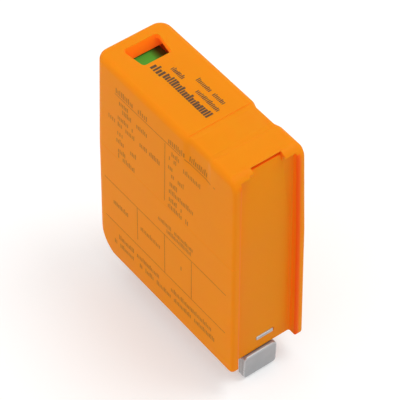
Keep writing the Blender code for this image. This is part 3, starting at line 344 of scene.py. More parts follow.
orangePlastic = paintedGlow(mouldedPlastic(
    "orangePlastic", plastic["orange"], plastic["orangeDeep"], plastic["orangeEdgeHighlight"], glow=0.4,
    paintedRecessRed=plastic["paintedRecessRed"], lips=plastic["paintedLipGlow"],
)).material
naturalPlastic = mouldedPlastic(
    "naturalPlastic", (0.72, 0.69, 0.60), (0.66, 0.62, 0.52), (0.80, 0.78, 0.70), 0.5, glow=0.2,
).material
blackPlastic = mouldedPlastic(
    "blackPlastic", (0.030, 0.030, 0.034), (0.022, 0.022, 0.025), (0.06, 0.06, 0.065), 0.5,
).material
flagGreen = mouldedPlastic(
    "flagGreen", (0.092, 0.490, 0.055), (0.080, 0.430, 0.045), (0.12, 0.53, 0.08), 0.5, 0.004,
    paintedShadow={"colour": (0.060, 0.020, 0.003), "from": 2.4, "fade": 1.667, "share": 0.9},  # painted shadow on its far end
).material
plateRed = mouldedPlastic(
    "plateRed", (0.62, 0.028, 0.018), (0.52, 0.020, 0.014), (0.72, 0.08, 0.05), 0.5, 0.004,
).material
tinnedStrip = stripMetal(
    "tinnedStrip", (0.42, 0.425, 0.435), (0.35, 0.355, 0.365), 0.40, rubbedAndHighlitColour=(0.80, 0.81, 0.83), metallic=0.6,
)
copperStrip = stripMetal("copperStrip", (0.86, 0.50, 0.34), (0.68, 0.36, 0.23), 0.30)
copperBraid = braidedStrip("copperBraid")
springSteel = stripMetal("springSteel", (0.62, 0.62, 0.63), (0.48, 0.48, 0.49), 0.24, along=0)
blueCoating = dippedCoating("blueCoating", (0.050, 0.095, 0.240), (0.030, 0.060, 0.160))
solderGrey = castSolder("solderGrey")
sideInk = printInk("sideInk", (0.43, 0.135, 0.010), (0.54, 0.170, 0.010))
topInk = printInk("topInk", (0.085, 0.050, 0.030), (0.15, 0.070, 0.030))
print("finishes made:", len(bpy.data.materials))


# Shapes are given in millimetres, and become metres where their vertices are made.

def placed(name, data):
    made = bpy.data.objects.new(name, data)
    scene.collection.objects.link(made)
    return made


def keep(mesh, name, body, finish, smoothAngle=35):
    mesh.name = name
    mesh.materials.clear()
    mesh.materials.append(finish)
    mesh.shade_smooth()
    mesh.set_sharp_from_angle(angle=math.radians(smoothAngle))
    made = placed(name, mesh)
    if body:
        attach(made, body)
    return made


def takenFrom(bm):
    mesh = bpy.data.meshes.new("shape")
    bm.to_mesh(mesh)
    bm.free()
    return mesh


def meshOf(bm):
    bmesh.ops.recalc_face_normals(bm, faces=bm.faces)
    return takenFrom(bm)


def outward(mesh):
    bm = bmesh.new()
    bm.from_mesh(mesh)
    return meshOf(bm)


def loft(levels):
    # Closed rings of the same count, one above the other, with both ends capped
    bm = bmesh.new()
    rings = [[bm.verts.new(Vector(place) * mm) for place in level] for level in levels]
    for lower, upper in zip(rings, rings[1:]):
        for i in range(len(lower)):
            j = (i + 1) % len(lower)
            bm.faces.new((lower[i], lower[j], upper[j], upper[i]))
    bm.faces.new(rings[0][::-1])
    bm.faces.new(rings[-1])
    return meshOf(bm)


def rodMesh(axis, centre, radius, half):
    # A cylinder along X or Y, with its middle at centre
    bm = bmesh.new()
    profile = [(0, -half), (radius, -half), (radius, half), (0, half)]
    path = [bm.verts.new(Vector((across, 0, height)) * mm) for across, height in profile]
    edges = [bm.edges.new(pair) for pair in zip(path, path[1:])]
    about = {"cent": (0, 0, 0), "axis": (0, 0, 1), "angle": 2 * math.pi, "steps": 32}
    bmesh.ops.spin(bm, geom=path + edges, use_duplicate=False, **about)
    bmesh.ops.remove_doubles(bm, verts=bm.verts, dist=1e-7)
    turn = Matrix.Rotation(math.pi / 2, 4, "Y") if axis == "X" else Matrix.Rotation(-math.pi / 2, 4, "X")
    bmesh.ops.transform(bm, matrix=Matrix.Translation(Vector(centre) * mm) @ turn, verts=bm.verts)
    return meshOf(bm)


def plainMesh(thing):
    # The evaluated mesh of an object, which is then removed
    bpy.context.view_layer.update()
    mesh = bpy.data.meshes.new_from_object(thing.evaluated_get(bpy.context.evaluated_depsgraph_get()))
    bpy.data.objects.remove(thing, do_unlink=True)
    return mesh


cut, join = "DIFFERENCE", "UNION"


def carved(mesh, steps):
    # mesh after a row of (cut or join, mesh) steps
    base = placed("base", mesh)
    tools = []
    for operation, tool in steps:
        tools.append(placed("tool", tool))
        step = base.modifiers.new("step", "BOOLEAN")
        step.operation, step.object, step.solver = operation, tools[-1], "EXACT"
    made = plainMesh(base)
    for tool in tools:
        bpy.data.objects.remove(tool, do_unlink=True)
    return made


def bevelled(mesh, width):
    made = placed("edged", mesh)
    edge = made.modifiers.new("edge", "BEVEL")
    edge.width, edge.segments, edge.harden_normals = width * mm, 2, False
    edge.limit_method, edge.angle_limit = "ANGLE", math.radians(40)
    return plainMesh(made)


def arc(centre, radius, start, end, steps):
    angles = [math.radians(start + (end - start) * i / steps) for i in range(steps + 1)]
    return [(centre[0] + radius * math.cos(a), centre[1] + radius * math.sin(a)) for a in angles]


def slabMesh(low, high):
    (x0, y0, z0), (x1, y1, z1) = low, high
    return loft([[(x0, y0, z), (x1, y0, z), (x1, y1, z), (x0, y1, z)] for z in (z0, z1)])


def roundedRing(x0, x1, y0, y1, z, radius, steps=8):
    left, right, near, far = x0 + radius, x1 - radius, y0 + radius, y1 - radius
    ring = []
    for middle, start in (((left, near), 180), ((right, near), 270), ((right, far), 0), ((left, far), 90)):
        ring += arc(middle, radius, start, start + 90, steps)
    return [(x, y, z) for x, y in ring]


def refined(name, width):
    # The CAD node's own shape, merged, its flats made whole and its edges broken
    bm = bmesh.new()
    bm.from_mesh(nodes[name].data)
    bmesh.ops.remove_doubles(bm, verts=bm.verts, dist=2e-6)
    bmesh.ops.dissolve_limit(bm, angle_limit=math.radians(0.5), verts=bm.verts, edges=bm.edges)
    mesh = takenFrom(bm)
    for extra in list(mesh.attributes):
        if extra.name == "custom_normal":
            mesh.attributes.remove(extra)
    return bevelled(mesh, width) if width else mesh


# Case: the same form as the CAD's, with finer arcs, a parting line and broken mouths

case = {
    "length": 44.8, "width": 17.8, "height": 52.6, "parting": 30.0, "lowerDraft": 0.47, "upperDraft": 1.25,
    "windowCorner": 2.7, "lipCorner": 0.8, "topEdge": 1.25, "footEdge": 0.4,
    "topWindowEnd": 1.1, "topChannelEnd": 2.8, "footWindowEnd": 5.0, "footChannelEnd": 0.6,
    "sideWall": 1.5, "endWall": 1.3, "roof": 1.1, "panelWall": 1.0,
    "roofEdge": 0.6, "roofSteps": (1.0, 0.6, 0.3, 0.1, 0),
    "ribs": (-2.5, 2.5), "ribWall": 1.0, "ribEnd": -17.6, "ribLow": 9.0, "ribHigh": 36.0, "ribSink": 0.6,
    "grooveDepth": 0.05, "grooveHeight": 0.16, "arcSteps": 10,
}
fingerGrip = {
    "centre": 10.5, "length": 8.8, "ramp": 2.0, "depth": 0.5, "fade": 8.0, "fadeGain": 1.6,
    "band": 7.6, "bandDepth": 0.15, "bandSlope": 0.6,
}
channel = {
    "panel": 20.2, "lipWall": 1.9, "corner": 0.4, "mouth": 0.6, "cap": 1.1,
    "notch": (-3.1, 3.9), "bite": 0.6, "lip": 0.3, "ledgeDrop": 1.05, "undercut": 0.95, "chamfer": 1.3,
    "padWall": 0.8, "padLap": (0.1, 0.2), "bay": (20.7, 21.4), "bayWidth": 1.0, "bayLap": 0.5,
    "slot": (-1.3, 3.1), "slotLow": 2.6, "slotHigh": 3.6, "slotCorner": 0.25,
}
window = {  # the mouth's outer edge at its two ends: x, near y and far y
    "deepEnd": (-18.86, -3.75, 4.75), "shallowEnd": (-12.90, -2.98, 3.75), "corner": 0.9, "mouth": 0.14,
    "skirt": 1.0, "skirtLap": 0.7, "openFrom": 0.5, "flagTop": 48.7, "flagGap": 0.4,
}
hooks = {"x": (-5.0, 9.0), "half": 2.3, "low": 5.0, "high": 6.8, "deep": 0.5}  # pockets for the base's hooks
beyond = 1.0  # how far a cutter runs past what it cuts, mm


def halfLength(z):
    lower = math.tan(math.radians(case["lowerDraft"])) * min(z, case["parting"])
    upper = math.tan(math.radians(case["upperDraft"])) * max(z - case["parting"], 0)
    return case["length"] / 2 - lower - upper


def halfWidth(z):
    return halfLength(z) - (case["length"] - case["width"]) / 2


def eased(t):
    t = min(max(t, 0), 1)
    return t * t * (3 - 2 * t)


def drawnBack(radius, away):
    # How far a rounded edge lies back, at a distance from where the edge ends
    into = min(max(radius - away, 0), radius)
    return radius - math.sqrt(max(radius * radius - into * into, 0))


def gripDip(x, z):
    along = (fingerGrip["length"] / 2 - abs(x - fingerGrip["centre"])) / fingerGrip["ramp"]
    down = 1 - (case["height"] - z) / fingerGrip["fade"]
    return fingerGrip["depth"] * eased(along) * eased(down * fingerGrip["fadeGain"])


def caseLevel(z, x0, x1, half, corner0, corner1, dips):
    steps = case["arcSteps"]
    ramp = [fingerGrip["ramp"] * i / 8 for i in range(9)]
    half0 = fingerGrip["length"] / 2
    start, end = fingerGrip["centre"] - half0, fingerGrip["centre"] + half0
    stations = [start + r for r in ramp] + [end - r for r in ramp[::-1]] if dips else []
    ring = arc((x0 + corner0, corner0 - half), corner0, 180, 270, steps)
    ring += [(x, gripDip(x, z) - half) for x in stations]
    ring += arc((x1 - corner1, corner1 - half), corner1, 270, 360, steps)
    ring += arc((x1 - corner1, half - corner1), corner1, 0, 90, steps)
    ring += [(x, half - gripDip(x, z)) for x in stations[::-1]]
    ring += arc((x0 + corner0, half - corner0), corner0, 90, 180, steps)
    return [(x, y, z) for x, y in ring]


def caseSkin():
    height, foot, crown = case["height"], case["footWindowEnd"], case["topChannelEnd"]
    low = [foot * (1 - math.cos(math.radians(7.5 * i))) for i in range(13)]
    groove = case["grooveHeight"] / 2
    middle = [case["parting"] - groove, case["parting"], case["parting"] + groove]
    fade = [height - fingerGrip["fade"] * share for share in (1.0, 0.9, 0.8, 0.7, 0.6, 0.5, 0.42)]
    high = [height - crown * (1 - math.sin(math.radians(7.5 * i))) for i in range(13)]
    levels = []
    for z in low + middle + fade + high:
        below = height - z
        sunk = case["grooveDepth"] if z == case["parting"] else 0
        x0 = sunk - halfLength(z) + drawnBack(foot, z) + drawnBack(case["topWindowEnd"], below)
        x1 = halfLength(z) - sunk - drawnBack(case["footChannelEnd"], z) - drawnBack(crown, below)
        edge = drawnBack(case["topEdge"], below) + drawnBack(case["footEdge"], z)
        corner0 = case["windowCorner"] - edge
        corner1 = max(case["lipCorner"] - edge, case["lipCorner"] / 3)
        levels.append(caseLevel(z, x0, x1, halfWidth(z) - edge - sunk, corner0, corner1, True))
    return loft(levels)


def caseCavity():
    foot = case["footWindowEnd"] - case["endWall"]
    inner = channel["panel"] - case["panelWall"]
    top = case["height"] - case["roof"]
    low = [case["endWall"] + foot * (1 - math.cos(math.radians(15 * i))) for i in range(7)]
    levels = []
    for z in [-beyond] + low + [case["parting"]] + [top - drop for drop in case["roofSteps"]]:
        x0 = case["endWall"] - halfLength(max(z, 0)) + drawnBack(foot, z - case["endWall"])
        edge = case["roofEdge"] * drawnBack(case["topEdge"], top - z)
        half = halfWidth(max(z, 0)) - case["sideWall"] - edge
        corner = case["windowCorner"] - case["endWall"]
        levels.append(caseLevel(z, x0 + edge, inner, half, corner, case["lipCorner"], False))
    return loft(levels)


def windowRing(z, inset):
    # The mouth's outline drawn in by inset: a slight trapezoid with round corners
    (x0, near0, far0), (x1, near1, far1) = window["deepEnd"], window["shallowEnd"]
    corners = [(x0 + inset, near0 + inset), (x1 - inset, near1 + inset)]
    corners += [(x1 - inset, far1 - inset), (x0 + inset, far0 - inset)]
    ring = []
    for i, corner in enumerate(corners):
        here = Vector(corner)
        back = (Vector(corners[i - 1]) - here).normalized()
        ahead = (Vector(corners[(i + 1) % 4]) - here).normalized()
        half = back.angle(ahead) / 2
        radius = window["corner"] - inset
        centre = here + (back + ahead).normalized() * (radius / math.sin(half))
        first = here + back * (radius / math.tan(half)) - centre
        for step in range(9):
            spin = Matrix.Rotation((math.pi - 2 * half) * step / 8, 2)
            place = centre + spin @ first
            ring.append((place.x, place.y, z))
    return ring


def windowCuts():
    # The skirt under the roof, the hole through both, and the skirt's open far side
    top, skirt = case["height"], window["skirt"]
    (x0, near0, far0), (x1, near1, far1) = window["deepEnd"], window["shallowEnd"]
    farWall = halfWidth(top) - case["sideWall"]
    low = window["flagTop"] + window["flagGap"]
    under = top - case["roof"]
    high = (x1 + skirt, farWall + window["skirtLap"], under + case["roof"] / 2)
    apron = slabMesh((x0 - skirt, near0 - skirt, low), high)
    inner = window["mouth"]
    levels = [windowRing(window["flagTop"], inner)]
    for i in range(7):
        angle = math.radians(15 * i)
        levels.append(windowRing(top - inner + inner * math.sin(angle), inner * math.cos(angle)))
    levels.append(windowRing(top + beyond, 0))
    openSide = slabMesh((x0 + inner, window["openFrom"], window["flagTop"]), (x1 - inner, farWall, under))
    return apron, loft(levels), openSide


def endRibs():
    ribs = []
    for y in case["ribs"]:
        low = (case["ribSink"] - halfLength(case["ribLow"]), y - case["ribWall"] / 2, case["ribLow"])
        ribs.append((join, slabMesh(low, (case["ribEnd"], y + case["ribWall"] / 2, case["ribHigh"]))))
    return ribs


def channelCut():
    # Runs up to the cap; its two long outer edges are rounded over
    levels = []
    for z in (-beyond, 0, case["parting"], case["height"] - channel["cap"]):
        half = halfWidth(max(z, 0)) - channel["lipWall"]
        end = halfLength(max(z, 0))
        corner, mouth = channel["corner"], channel["mouth"]
        side = [(channel["panel"], 0.0)]
        side += arc((channel["panel"] + corner, half - corner), corner, 180, 90, 5)
        side += arc((end - mouth, half + mouth), mouth, 270, 360, 6)
        side.append((end + beyond, half + mouth + beyond / 2))
        levels.append([(x, y, z) for x, y in side] + [(x, -y, z) for x, y in side[:0:-1]])
    return loft(levels)


def notchCuts():
    # Through the cap: undercut behind its edge, with a ledge below that falls to the panel
    y0, y1 = channel["notch"]
    top, panel = case["height"], channel["panel"]
    bite, back = panel - channel["bite"], panel - channel["bite"] - channel["undercut"]
    lip, ledge = top - channel["lip"], top - channel["ledgeDrop"]
    far = case["length"] / 2 + beyond
    foot = ledge - channel["chamfer"]
    profile = [
        (bite, top + beyond), (bite, lip), (back, lip), (back, ledge), (bite, ledge), (panel, foot),
        (far, foot), (far, top + beyond),
    ]
    bay0, bay1 = channel["bay"]
    lap = channel["bayLap"]
    low = (bay0, y0 - channel["bayWidth"], top - channel["cap"] - lap)
    bay = slabMesh(low, (bay1, y0 + lap, top + beyond))
    return loft([[(x, y, z) for x, z in profile] for y in (y0, y1)]), bay


def notchPad():
    # Thickens the roof behind the panel, so that the undercut keeps a wall below and behind it
    y0, y1 = channel["notch"]
    pad = channel["padWall"]
    back = channel["panel"] - channel["bite"] - channel["undercut"] - pad
    floorZ = case["height"] - channel["ledgeDrop"]
    inner = channel["panel"] - case["panelWall"]
    lapX, lapZ = channel["padLap"]
    return slabMesh((back, y0 - pad, floorZ - pad), (inner + lapX, y1 + pad, floorZ + lapZ))


def slotCut():
    ring = roundedRing(*channel["slot"], channel["slotLow"], channel["slotHigh"], 0, channel["slotCorner"], 4)
    ends = (channel["panel"] - case["panelWall"] - beyond, channel["panel"] + beyond)
    return loft([[(x, y, z) for y, z, _ in ring] for x in ends])


def bandCut():
    half = fingerGrip["band"] / 2
    floorZ, top = case["height"] - fingerGrip["bandDepth"], case["height"] + beyond
    x0, x1 = fingerGrip["centre"] - half, fingerGrip["centre"] + half
    slope = fingerGrip["bandDepth"] * fingerGrip["bandSlope"]
    profile = [(x0 + slope, floorZ), (x1 - slope, floorZ), (x1, case["height"]), (x1, top)]
    profile += [(x0, top), (x0, case["height"])]
    return loft([[(x, y, z) for x, z in profile] for y in (-case["width"], case["width"])])


def hookPockets():
    cuts = []
    inner = case["width"] / 2 - case["sideWall"]
    for side in (-1, 1):
        for x in hooks["x"]:
            ends = sorted((side * (inner - beyond), side * (inner + hooks["deep"])))
            left, right, low, high = x - hooks["half"], x + hooks["half"], hooks["low"], hooks["high"]
            outline = ((left, low), (right, low), (right, high), (left, high))
            cuts.append((cut, loft([[(across, y, z) for across, z in outline] for y in ends])))
    return cuts


apron, tunnel, openSide = windowCuts()
notch, bay = notchCuts()
caseMesh = carved(caseSkin(), [
    (cut, caseCavity()), (join, apron), (join, notchPad()), *endRibs(), (cut, tunnel), (cut, openSide),
    (cut, channelCut()), (cut, notch), (cut, bay), (cut, slotCut()), (cut, bandCut()), *hookPockets(),
])
caseShell = keep(caseMesh, "caseShell", "case", orangePlastic, 28)
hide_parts("housing_cover")
print("case shell:", len(caseMesh.polygons), "faces")


# Contact blades: rolled strip, bent into a hook, with every edge rounded

blade = {
    "y": (-4.65, 3.45), "thickness": 0.8, "reach": 6.9, "bend": 0.44, "spread": 0.24, "joggle": 0.96,
    "joggleTop": -0.3, "joggleLead": 0.3, "joggleStart": 0.2, "joggleDrop": 1.4, "foldLead": 1.0,
    "leafTop": -0.3, "corner": 0.9, "foldCorner": 1.6, "edge": 0.12, "endRound": 0.34, "nip": 0.03,
    "rearX": -15.4, "frontX": 18.5, "rearTop": 6.0, "frontTop": 16.0,
    "tab": ((18.5, -1.2, 2.65), (20.35, 2.85, 3.55)), "rearBore": 4.6,
}
flange = {"low": 9.0, "high": 16.0, "stub": 2.0, "bend": 0.6, "length": 4.5, "bore": 13.0}
boreRadius, boreHalf = 0.88, 1.5


def stripSections(path, y0, y1, thickness, edge, cornerAtEnd=0.0, extra=None):
    # Rounded sections set square to a path in X and Z; the last stretch narrows round its corners,
    # and extra says how much each section thickens on its two sides
    sections = []
    for i, point in enumerate(path):
        here = Vector(point)
        into = (here - Vector(path[i - 1])).normalized() if i else None
        out = (Vector(path[i + 1]) - here).normalized() if i + 1 < len(path) else into
        into = into or out
        across = Vector((-(into.y + out.y), into.x + out.x)).normalized()
        reach = thickness / 2 / max(across.dot(Vector((-into.y, into.x))), 0.5)
        narrow = drawnBack(cornerAtEnd, (Vector(path[-1]) - here).length)
        low, high = extra[i] if extra else (0, 0)
        ring = roundedRing(y0 + narrow, y1 - narrow, -reach - low, reach + high, 0, edge, 3)
        sections.append([(here.x + across.x * off, y, here.y + across.y * off) for y, off, _ in ring])
    return sections


def bladePath(x, direction, stemTop):
    low = -(blade["reach"] - blade["thickness"] / 2 - blade["bend"])
    top = blade["joggleTop"]
    path = [(0, stemTop), (0, top + blade["joggleLead"])]
    # the joggle is an S of two soft bends
    for i in range(1, 9):
        t = i / 8
        path.append((blade["joggle"] * eased(t), top + blade["joggleStart"] - blade["joggleDrop"] * t))
    path.append((blade["joggle"], low + blade["foldLead"]))
    centre = blade["joggle"] + blade["bend"]
    path += arc((centre, low), blade["bend"], 180, 360, 14)
    end = (centre + blade["bend"] + blade["spread"], blade["leafTop"])
    start = Vector(path[-1])
    span = Vector(end) - start
    for i in range(1, 5):
        path.append(tuple(start + span * (i * 0.2)))
    corner = blade["corner"]
    for i in range(17):
        share = 1 - corner / span.length * math.cos(math.radians(90 * i / 16))
        path.append(tuple(start + span * share))
    return [(x + direction * px, pz) for px, pz in path]


def foldCorners(x, direction):
    # What lies outside the two rounded corners of the fold, right through both layers
    cuts = []
    radius, low = blade["foldCorner"], -blade["reach"]
    for y, side in zip(blade["y"], (-1, 1)):
        middle = (y - side * radius, low + radius)
        turn = [math.pi / 2 * i / 8 for i in range(9)]
        outline = [(middle[0] + side * radius * math.sin(a), middle[1] - radius * math.cos(a)) for a in turn]
        outer, under = y + side * beyond, low - beyond
        outline += [(outer, middle[1]), (outer, under), (middle[0], under)]
        ends = (x - direction * beyond, x + direction * (blade["joggle"] + 4 * blade["bend"]))
        cuts.append((cut, loft([[(end, yy, z) for yy, z in outline] for end in ends])))
    return cuts


def bladeMesh(x, direction, stemTop):
    y0, y1 = blade["y"]
    path = bladePath(x, direction, stemTop)
    # the leaf thickens inwards, so that it lies on the stem up to its end
    closed = x + direction * (blade["joggle"] + 2 * blade["bend"])
    end = Vector(path[-1])
    extra = []
    for point in path:
        past = direction * (point[0] - closed)
        if past < -1e-6:
            extra.append((0, 0))
            continue
        # the leaf's end is rounded over from both faces
        into = drawnBack(blade["endRound"], (end - Vector(point)).length)
        inner = max(past, 0) + 2 * blade["bend"] - blade["thickness"] - blade["nip"] - into
        extra.append((-into, inner) if direction > 0 else (inner, -into))
    strip = loft(stripSections(path, y0, y1, blade["thickness"], blade["edge"], blade["corner"], extra))
    # the two layers lie so close that their ends read as one
    layers = sorted((x + direction * blade["joggle"], closed))
    seam = slabMesh((layers[0], y0 + blade["nip"], blade["foldCorner"] - blade["reach"]),
                    (layers[1], y1 - blade["nip"], blade["leafTop"] - 2 * blade["endRound"]))
    return carved(strip, [(join, seam), *foldCorners(x, direction)])


rearBlade = keep(
    carved(bladeMesh(blade["rearX"], -1, blade["rearTop"]), [
        (cut, rodMesh("X", (blade["rearX"], 0, blade["rearBore"]), boreRadius, boreHalf)),
    ]),
    "rearBlade", "case", tinnedStrip, 40,
)
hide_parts("rear_contact_blade")


def frontFlange():
    # Bent round from the side of the stem: its path lies in X and Y, its width along Z
    x, bend = blade["frontX"], flange["bend"]
    y = round(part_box("front_contact_blade")[0].y / mm, 3) + blade["thickness"] / 2
    path = [(x, flange["stub"])] + arc((x - bend, y + bend), bend, 0, -90, 6) + [(x - flange["length"], y)]
    sections = stripSections(path, flange["low"], flange["high"], blade["thickness"], blade["edge"])
    return loft([[(across, yy, z) for across, z, yy in ring] for ring in sections]), y


flangeStrip, flangeY = frontFlange()
boreX = blade["frontX"] - flange["length"] / 2
frontBlade = keep(
    carved(bladeMesh(blade["frontX"], 1, blade["frontTop"]), [
        (join, flangeStrip), (join, bevelled(slabMesh(*blade["tab"]), blade["edge"])),
        (cut, rodMesh("Y", (boreX, flangeY, flange["bore"]), boreRadius, boreHalf)),
    ]),
    "frontBlade", "case", tinnedStrip, 40,
)
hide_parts("front_contact_blade")
print("blades:", len(frontBlade.data.polygons), len(rearBlade.data.polygons), "faces")


# Geometry Nodes trees

class Pattern(Desk):
    # A geometry tree with named inputs, laid on an object and then turned into its plain mesh
    kinds = {
        float: "NodeSocketFloat", int: "NodeSocketInt", tuple: "NodeSocketVector",
        bpy.types.Object: "NodeSocketObject", bpy.types.Material: "NodeSocketMaterial",
    }

    def __init__(self, name, inputs):
        tree = bpy.data.node_groups.new(name, "GeometryNodeTree")
        super().__init__(tree)
        tree.interface.new_socket("Geometry", in_out="INPUT", socket_type="NodeSocketGeometry")
        self.given = inputs
        for label, value in inputs.items():
            tree.interface.new_socket(label, in_out="INPUT", socket_type=self.kinds[type(value)])
        tree.interface.new_socket("Geometry", in_out="OUTPUT", socket_type="NodeSocketGeometry")
        self.entry = tree.nodes.new("NodeGroupInput")

    def input(self, label):
        return Wire(self, self.entry.outputs[label])

    def step(self, kind, settings=None, **sockets):
        given = {label.replace("_", " "): value for label, value in sockets.items()}
        return self.node("GeometryNode" + kind, settings, given)

    def combined(self, x, y, z):
        return self.node("ShaderNodeCombineXYZ", {}, {0: x, 1: y, 2: z})

    def vector(self, operation, *given, **named):
        sockets = {**dict(enumerate(given)), **named}
        output = "Value" if operation == "DOT_PRODUCT" else "Vector"
        return self.node("ShaderNodeVectorMath", {"operation": operation}, sockets, output)

    def spread(self, low, high, order):
        # A random number for each item, the same in every run
        given = {2: low, 3: high, "ID": order, "Seed": self.input("Seed")}
        return self.node("FunctionNodeRandomValue", {"data_type": "FLOAT"}, given, output=1)

    def shaped(self, seedMesh, geometry):
        # Realises, sets the finish, and gives the plain mesh
        whole = self.step("RealizeInstances", Geometry=geometry)
        coated = self.step("SetMaterial", Geometry=whole, Material=self.input("Finish"))
        leave = self.tree.nodes.new("NodeGroupOutput")
        self.feed(leave.inputs[0], coated)
        carrier = placed("carrier", seedMesh)
        step = carrier.modifiers.new("pattern", "NODES")
        step.node_group = self.tree
        for item in self.tree.interface.items_tree:
            if item.in_out == "INPUT" and item.name in self.given:
                step[item.identifier] = self.given[item.name]
        return plainMesh(carrier)


spring = {
    "start": -17.761, "end": -9.361, "y": -4.699, "z": 39.5, "coil": 1.3, "wire": 0.2, "turns": 8.0,
    "closed": 0.48, "perTurn": 28,
}


def springMesh():
    # One point for each step of the wire; the first and last turns lie closed
    tree = Pattern("springCoil", {
        "Start": spring["start"] + spring["wire"], "End": spring["end"] - spring["wire"],
        "Coil Radius": spring["coil"], "Wire Radius": spring["wire"] * mm, "Turns": spring["turns"],
        "Closed Pitch": spring["closed"], "Steps": spring["perTurn"], "Finish": springSteel,
    })
    labels = ("Start", "End", "Coil Radius", "Turns", "Closed Pitch", "Steps")
    start, end, radius, turns, closed, steps = [tree.input(label) for label in labels]
    points = tree.step("MeshLine", Count=turns * steps + 1)
    turn = tree.step("InputIndex") / steps
    head = turn.within(0, 1) * closed
    tail = (turn - (turns - 1)).within(0, 1) * closed
    share = ((turn - 1) / (turns - 2)).within(0, 1)
    x = start + head + tail + (end - start - closed * 2) * share
    angle = turn * (2 * math.pi)
    y = angle.waved("COSINE") * radius + spring["y"]
    z = angle.waved("SINE") * radius + spring["z"]
    place = tree.combined(x * mm, y * mm, z * mm)
    laid = tree.step("SetPosition", Geometry=points, Position=place)
    path = tree.step("MeshToCurve", Mesh=laid)
    wire = tree.step("CurvePrimitiveCircle", Resolution=10, Radius=tree.input("Wire Radius"))
    coil = tree.step("CurveToMesh", Curve=path, Profile_Curve=wire, Fill_Caps=True)
    return tree.shaped(bpy.data.meshes.new("seed"), coil)


springWire = keep(springMesh(), "springWire", None, springSteel, 50)
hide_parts("slider_spring")
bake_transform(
    springWire, "case", "slider", (spring["start"] * mm, spring["y"] * mm, spring["z"] * mm),
    (spring["end"] * mm, spring["y"] * mm, spring["z"] * mm),
)
print("spring:", len(springWire.data.polygons), "faces")


# Print: rows of plain bars, and rules, laid on the wall that carries them

ink = {
    "lift": 0.012, "sink": 0.01, "pitch": 0.36, "bar": 0.21, "boldFrom": 1.5, "bolder": 0.35, "rule": 0.18,
    "step": 1.5, "gapShare": 0.16, "lowest": 0.72, "rise": 0.14, "seed": 7, "seeds": (1000, 5000),
    "reach": 0.2,  # how far the wall may be, in metres
}
sheets = {  # where the print waits before it is thrown onto the wall: mm ahead of it
    "side": {"heading": (0, 1, 0), "upright": (0, 0, 1), "ahead": 30},
    "top": {"heading": (0, 0, -1), "upright": (0, 1, 0), "ahead": 80},
}
sideRows = [  # height, and for each row x from, x to, z
    (1.45, [(-14.5, -9.5, 48.05), (-7.5, -5.0, 48.05), (2.0, 6.5, 48.0), (8.0, 13.5, 48.0)]),
    (1.3, [(-14.0, -11.0, 45.5), (-12.5, -10.0, 43.8), (-8.0, -5.0, 43.8), (-14.0, -9.5, 41.5),
        (-17.0, -15.2, 39.7), (-14.0, -9.0, 39.7), (-7.0, -5.0, 39.7), (-4.0, -1.0, 39.7),
        (-14.2, -12.8, 37.2), (-14.5, -8.5, 35.0), (-14.0, -12.0, 32.5), (-14.0, -8.5, 31.0),
        (2.5, 5.0, 45.3), (2.2, 11.5, 43.8), (2.0, 3.0, 41.3), (2.0, 8.0, 39.5), (2.0, 4.5, 37.0),
        (2.3, 9.5, 35.0), (2.3, 6.0, 32.7), (2.0, 8.0, 30.8)]),
    (1.15, [(-2.0, 9.5, 24.5), (1.5, 9.0, 23.0)]),
    (1.3, [(-16.0, -11.5, 16.2), (-7.0, -0.5, 16.2), (4.5, 6.0, 16.2), (-14.5, 15.5, 7.0),
        (-16.0, 17.0, 4.75)]),
]
sideRules = [  # x and z of both ends
    (-15.0, 47.07, 16.0, 47.07), (0.8, 30.0, 0.8, 46.6), (-19.0, 21.37, 20.0, 21.37),
    (-8.2, 12.0, -8.2, 21.2), (0.7, 10.4, 0.7, 21.2), (9.3, 10.5, 9.3, 21.2), (-19.0, 10.27, 20.0, 10.27),
]
topRows = [  # the same, with y for z
    (1.75, [(-8.3, 4.7, -1.25)]), (1.9, [(-11.7, -9.2, -1.55)]),
    (1.1, [(-9.2, -6.0, 1.0), (-2.4, 4.7, 1.0), (-4.0, 4.7, 2.95)]),
]


def printSeed(rows, rules, sheet):
    # An edge for each row and each rule, on the flat sheet; a rule has no row height
    heading, upright = Vector(sheet["heading"]), Vector(sheet["upright"])
    ends = [((x0, level), (x1, level), height) for height, group in rows for x0, x1, level in group]
    ends += [((x0, z0), (x1, z1), 0) for x0, z0, x1, z1 in rules]
    flat = [spot for start, end, _ in ends for spot in (start, end)]
    places = [Vector((x, 0, 0)) + upright * z - heading * sheet["ahead"] for x, z in flat]
    mesh = bpy.data.meshes.new("printSeed")
    mesh.from_pydata([place * mm for place in places], [(2 * i, 2 * i + 1) for i in range(len(ends))], [])
    heights = mesh.attributes.new("rowHeight", "FLOAT", "POINT")
    heights.data.foreach_set("value", [height * mm for _, _, height in ends for _ in range(2)])
    return mesh


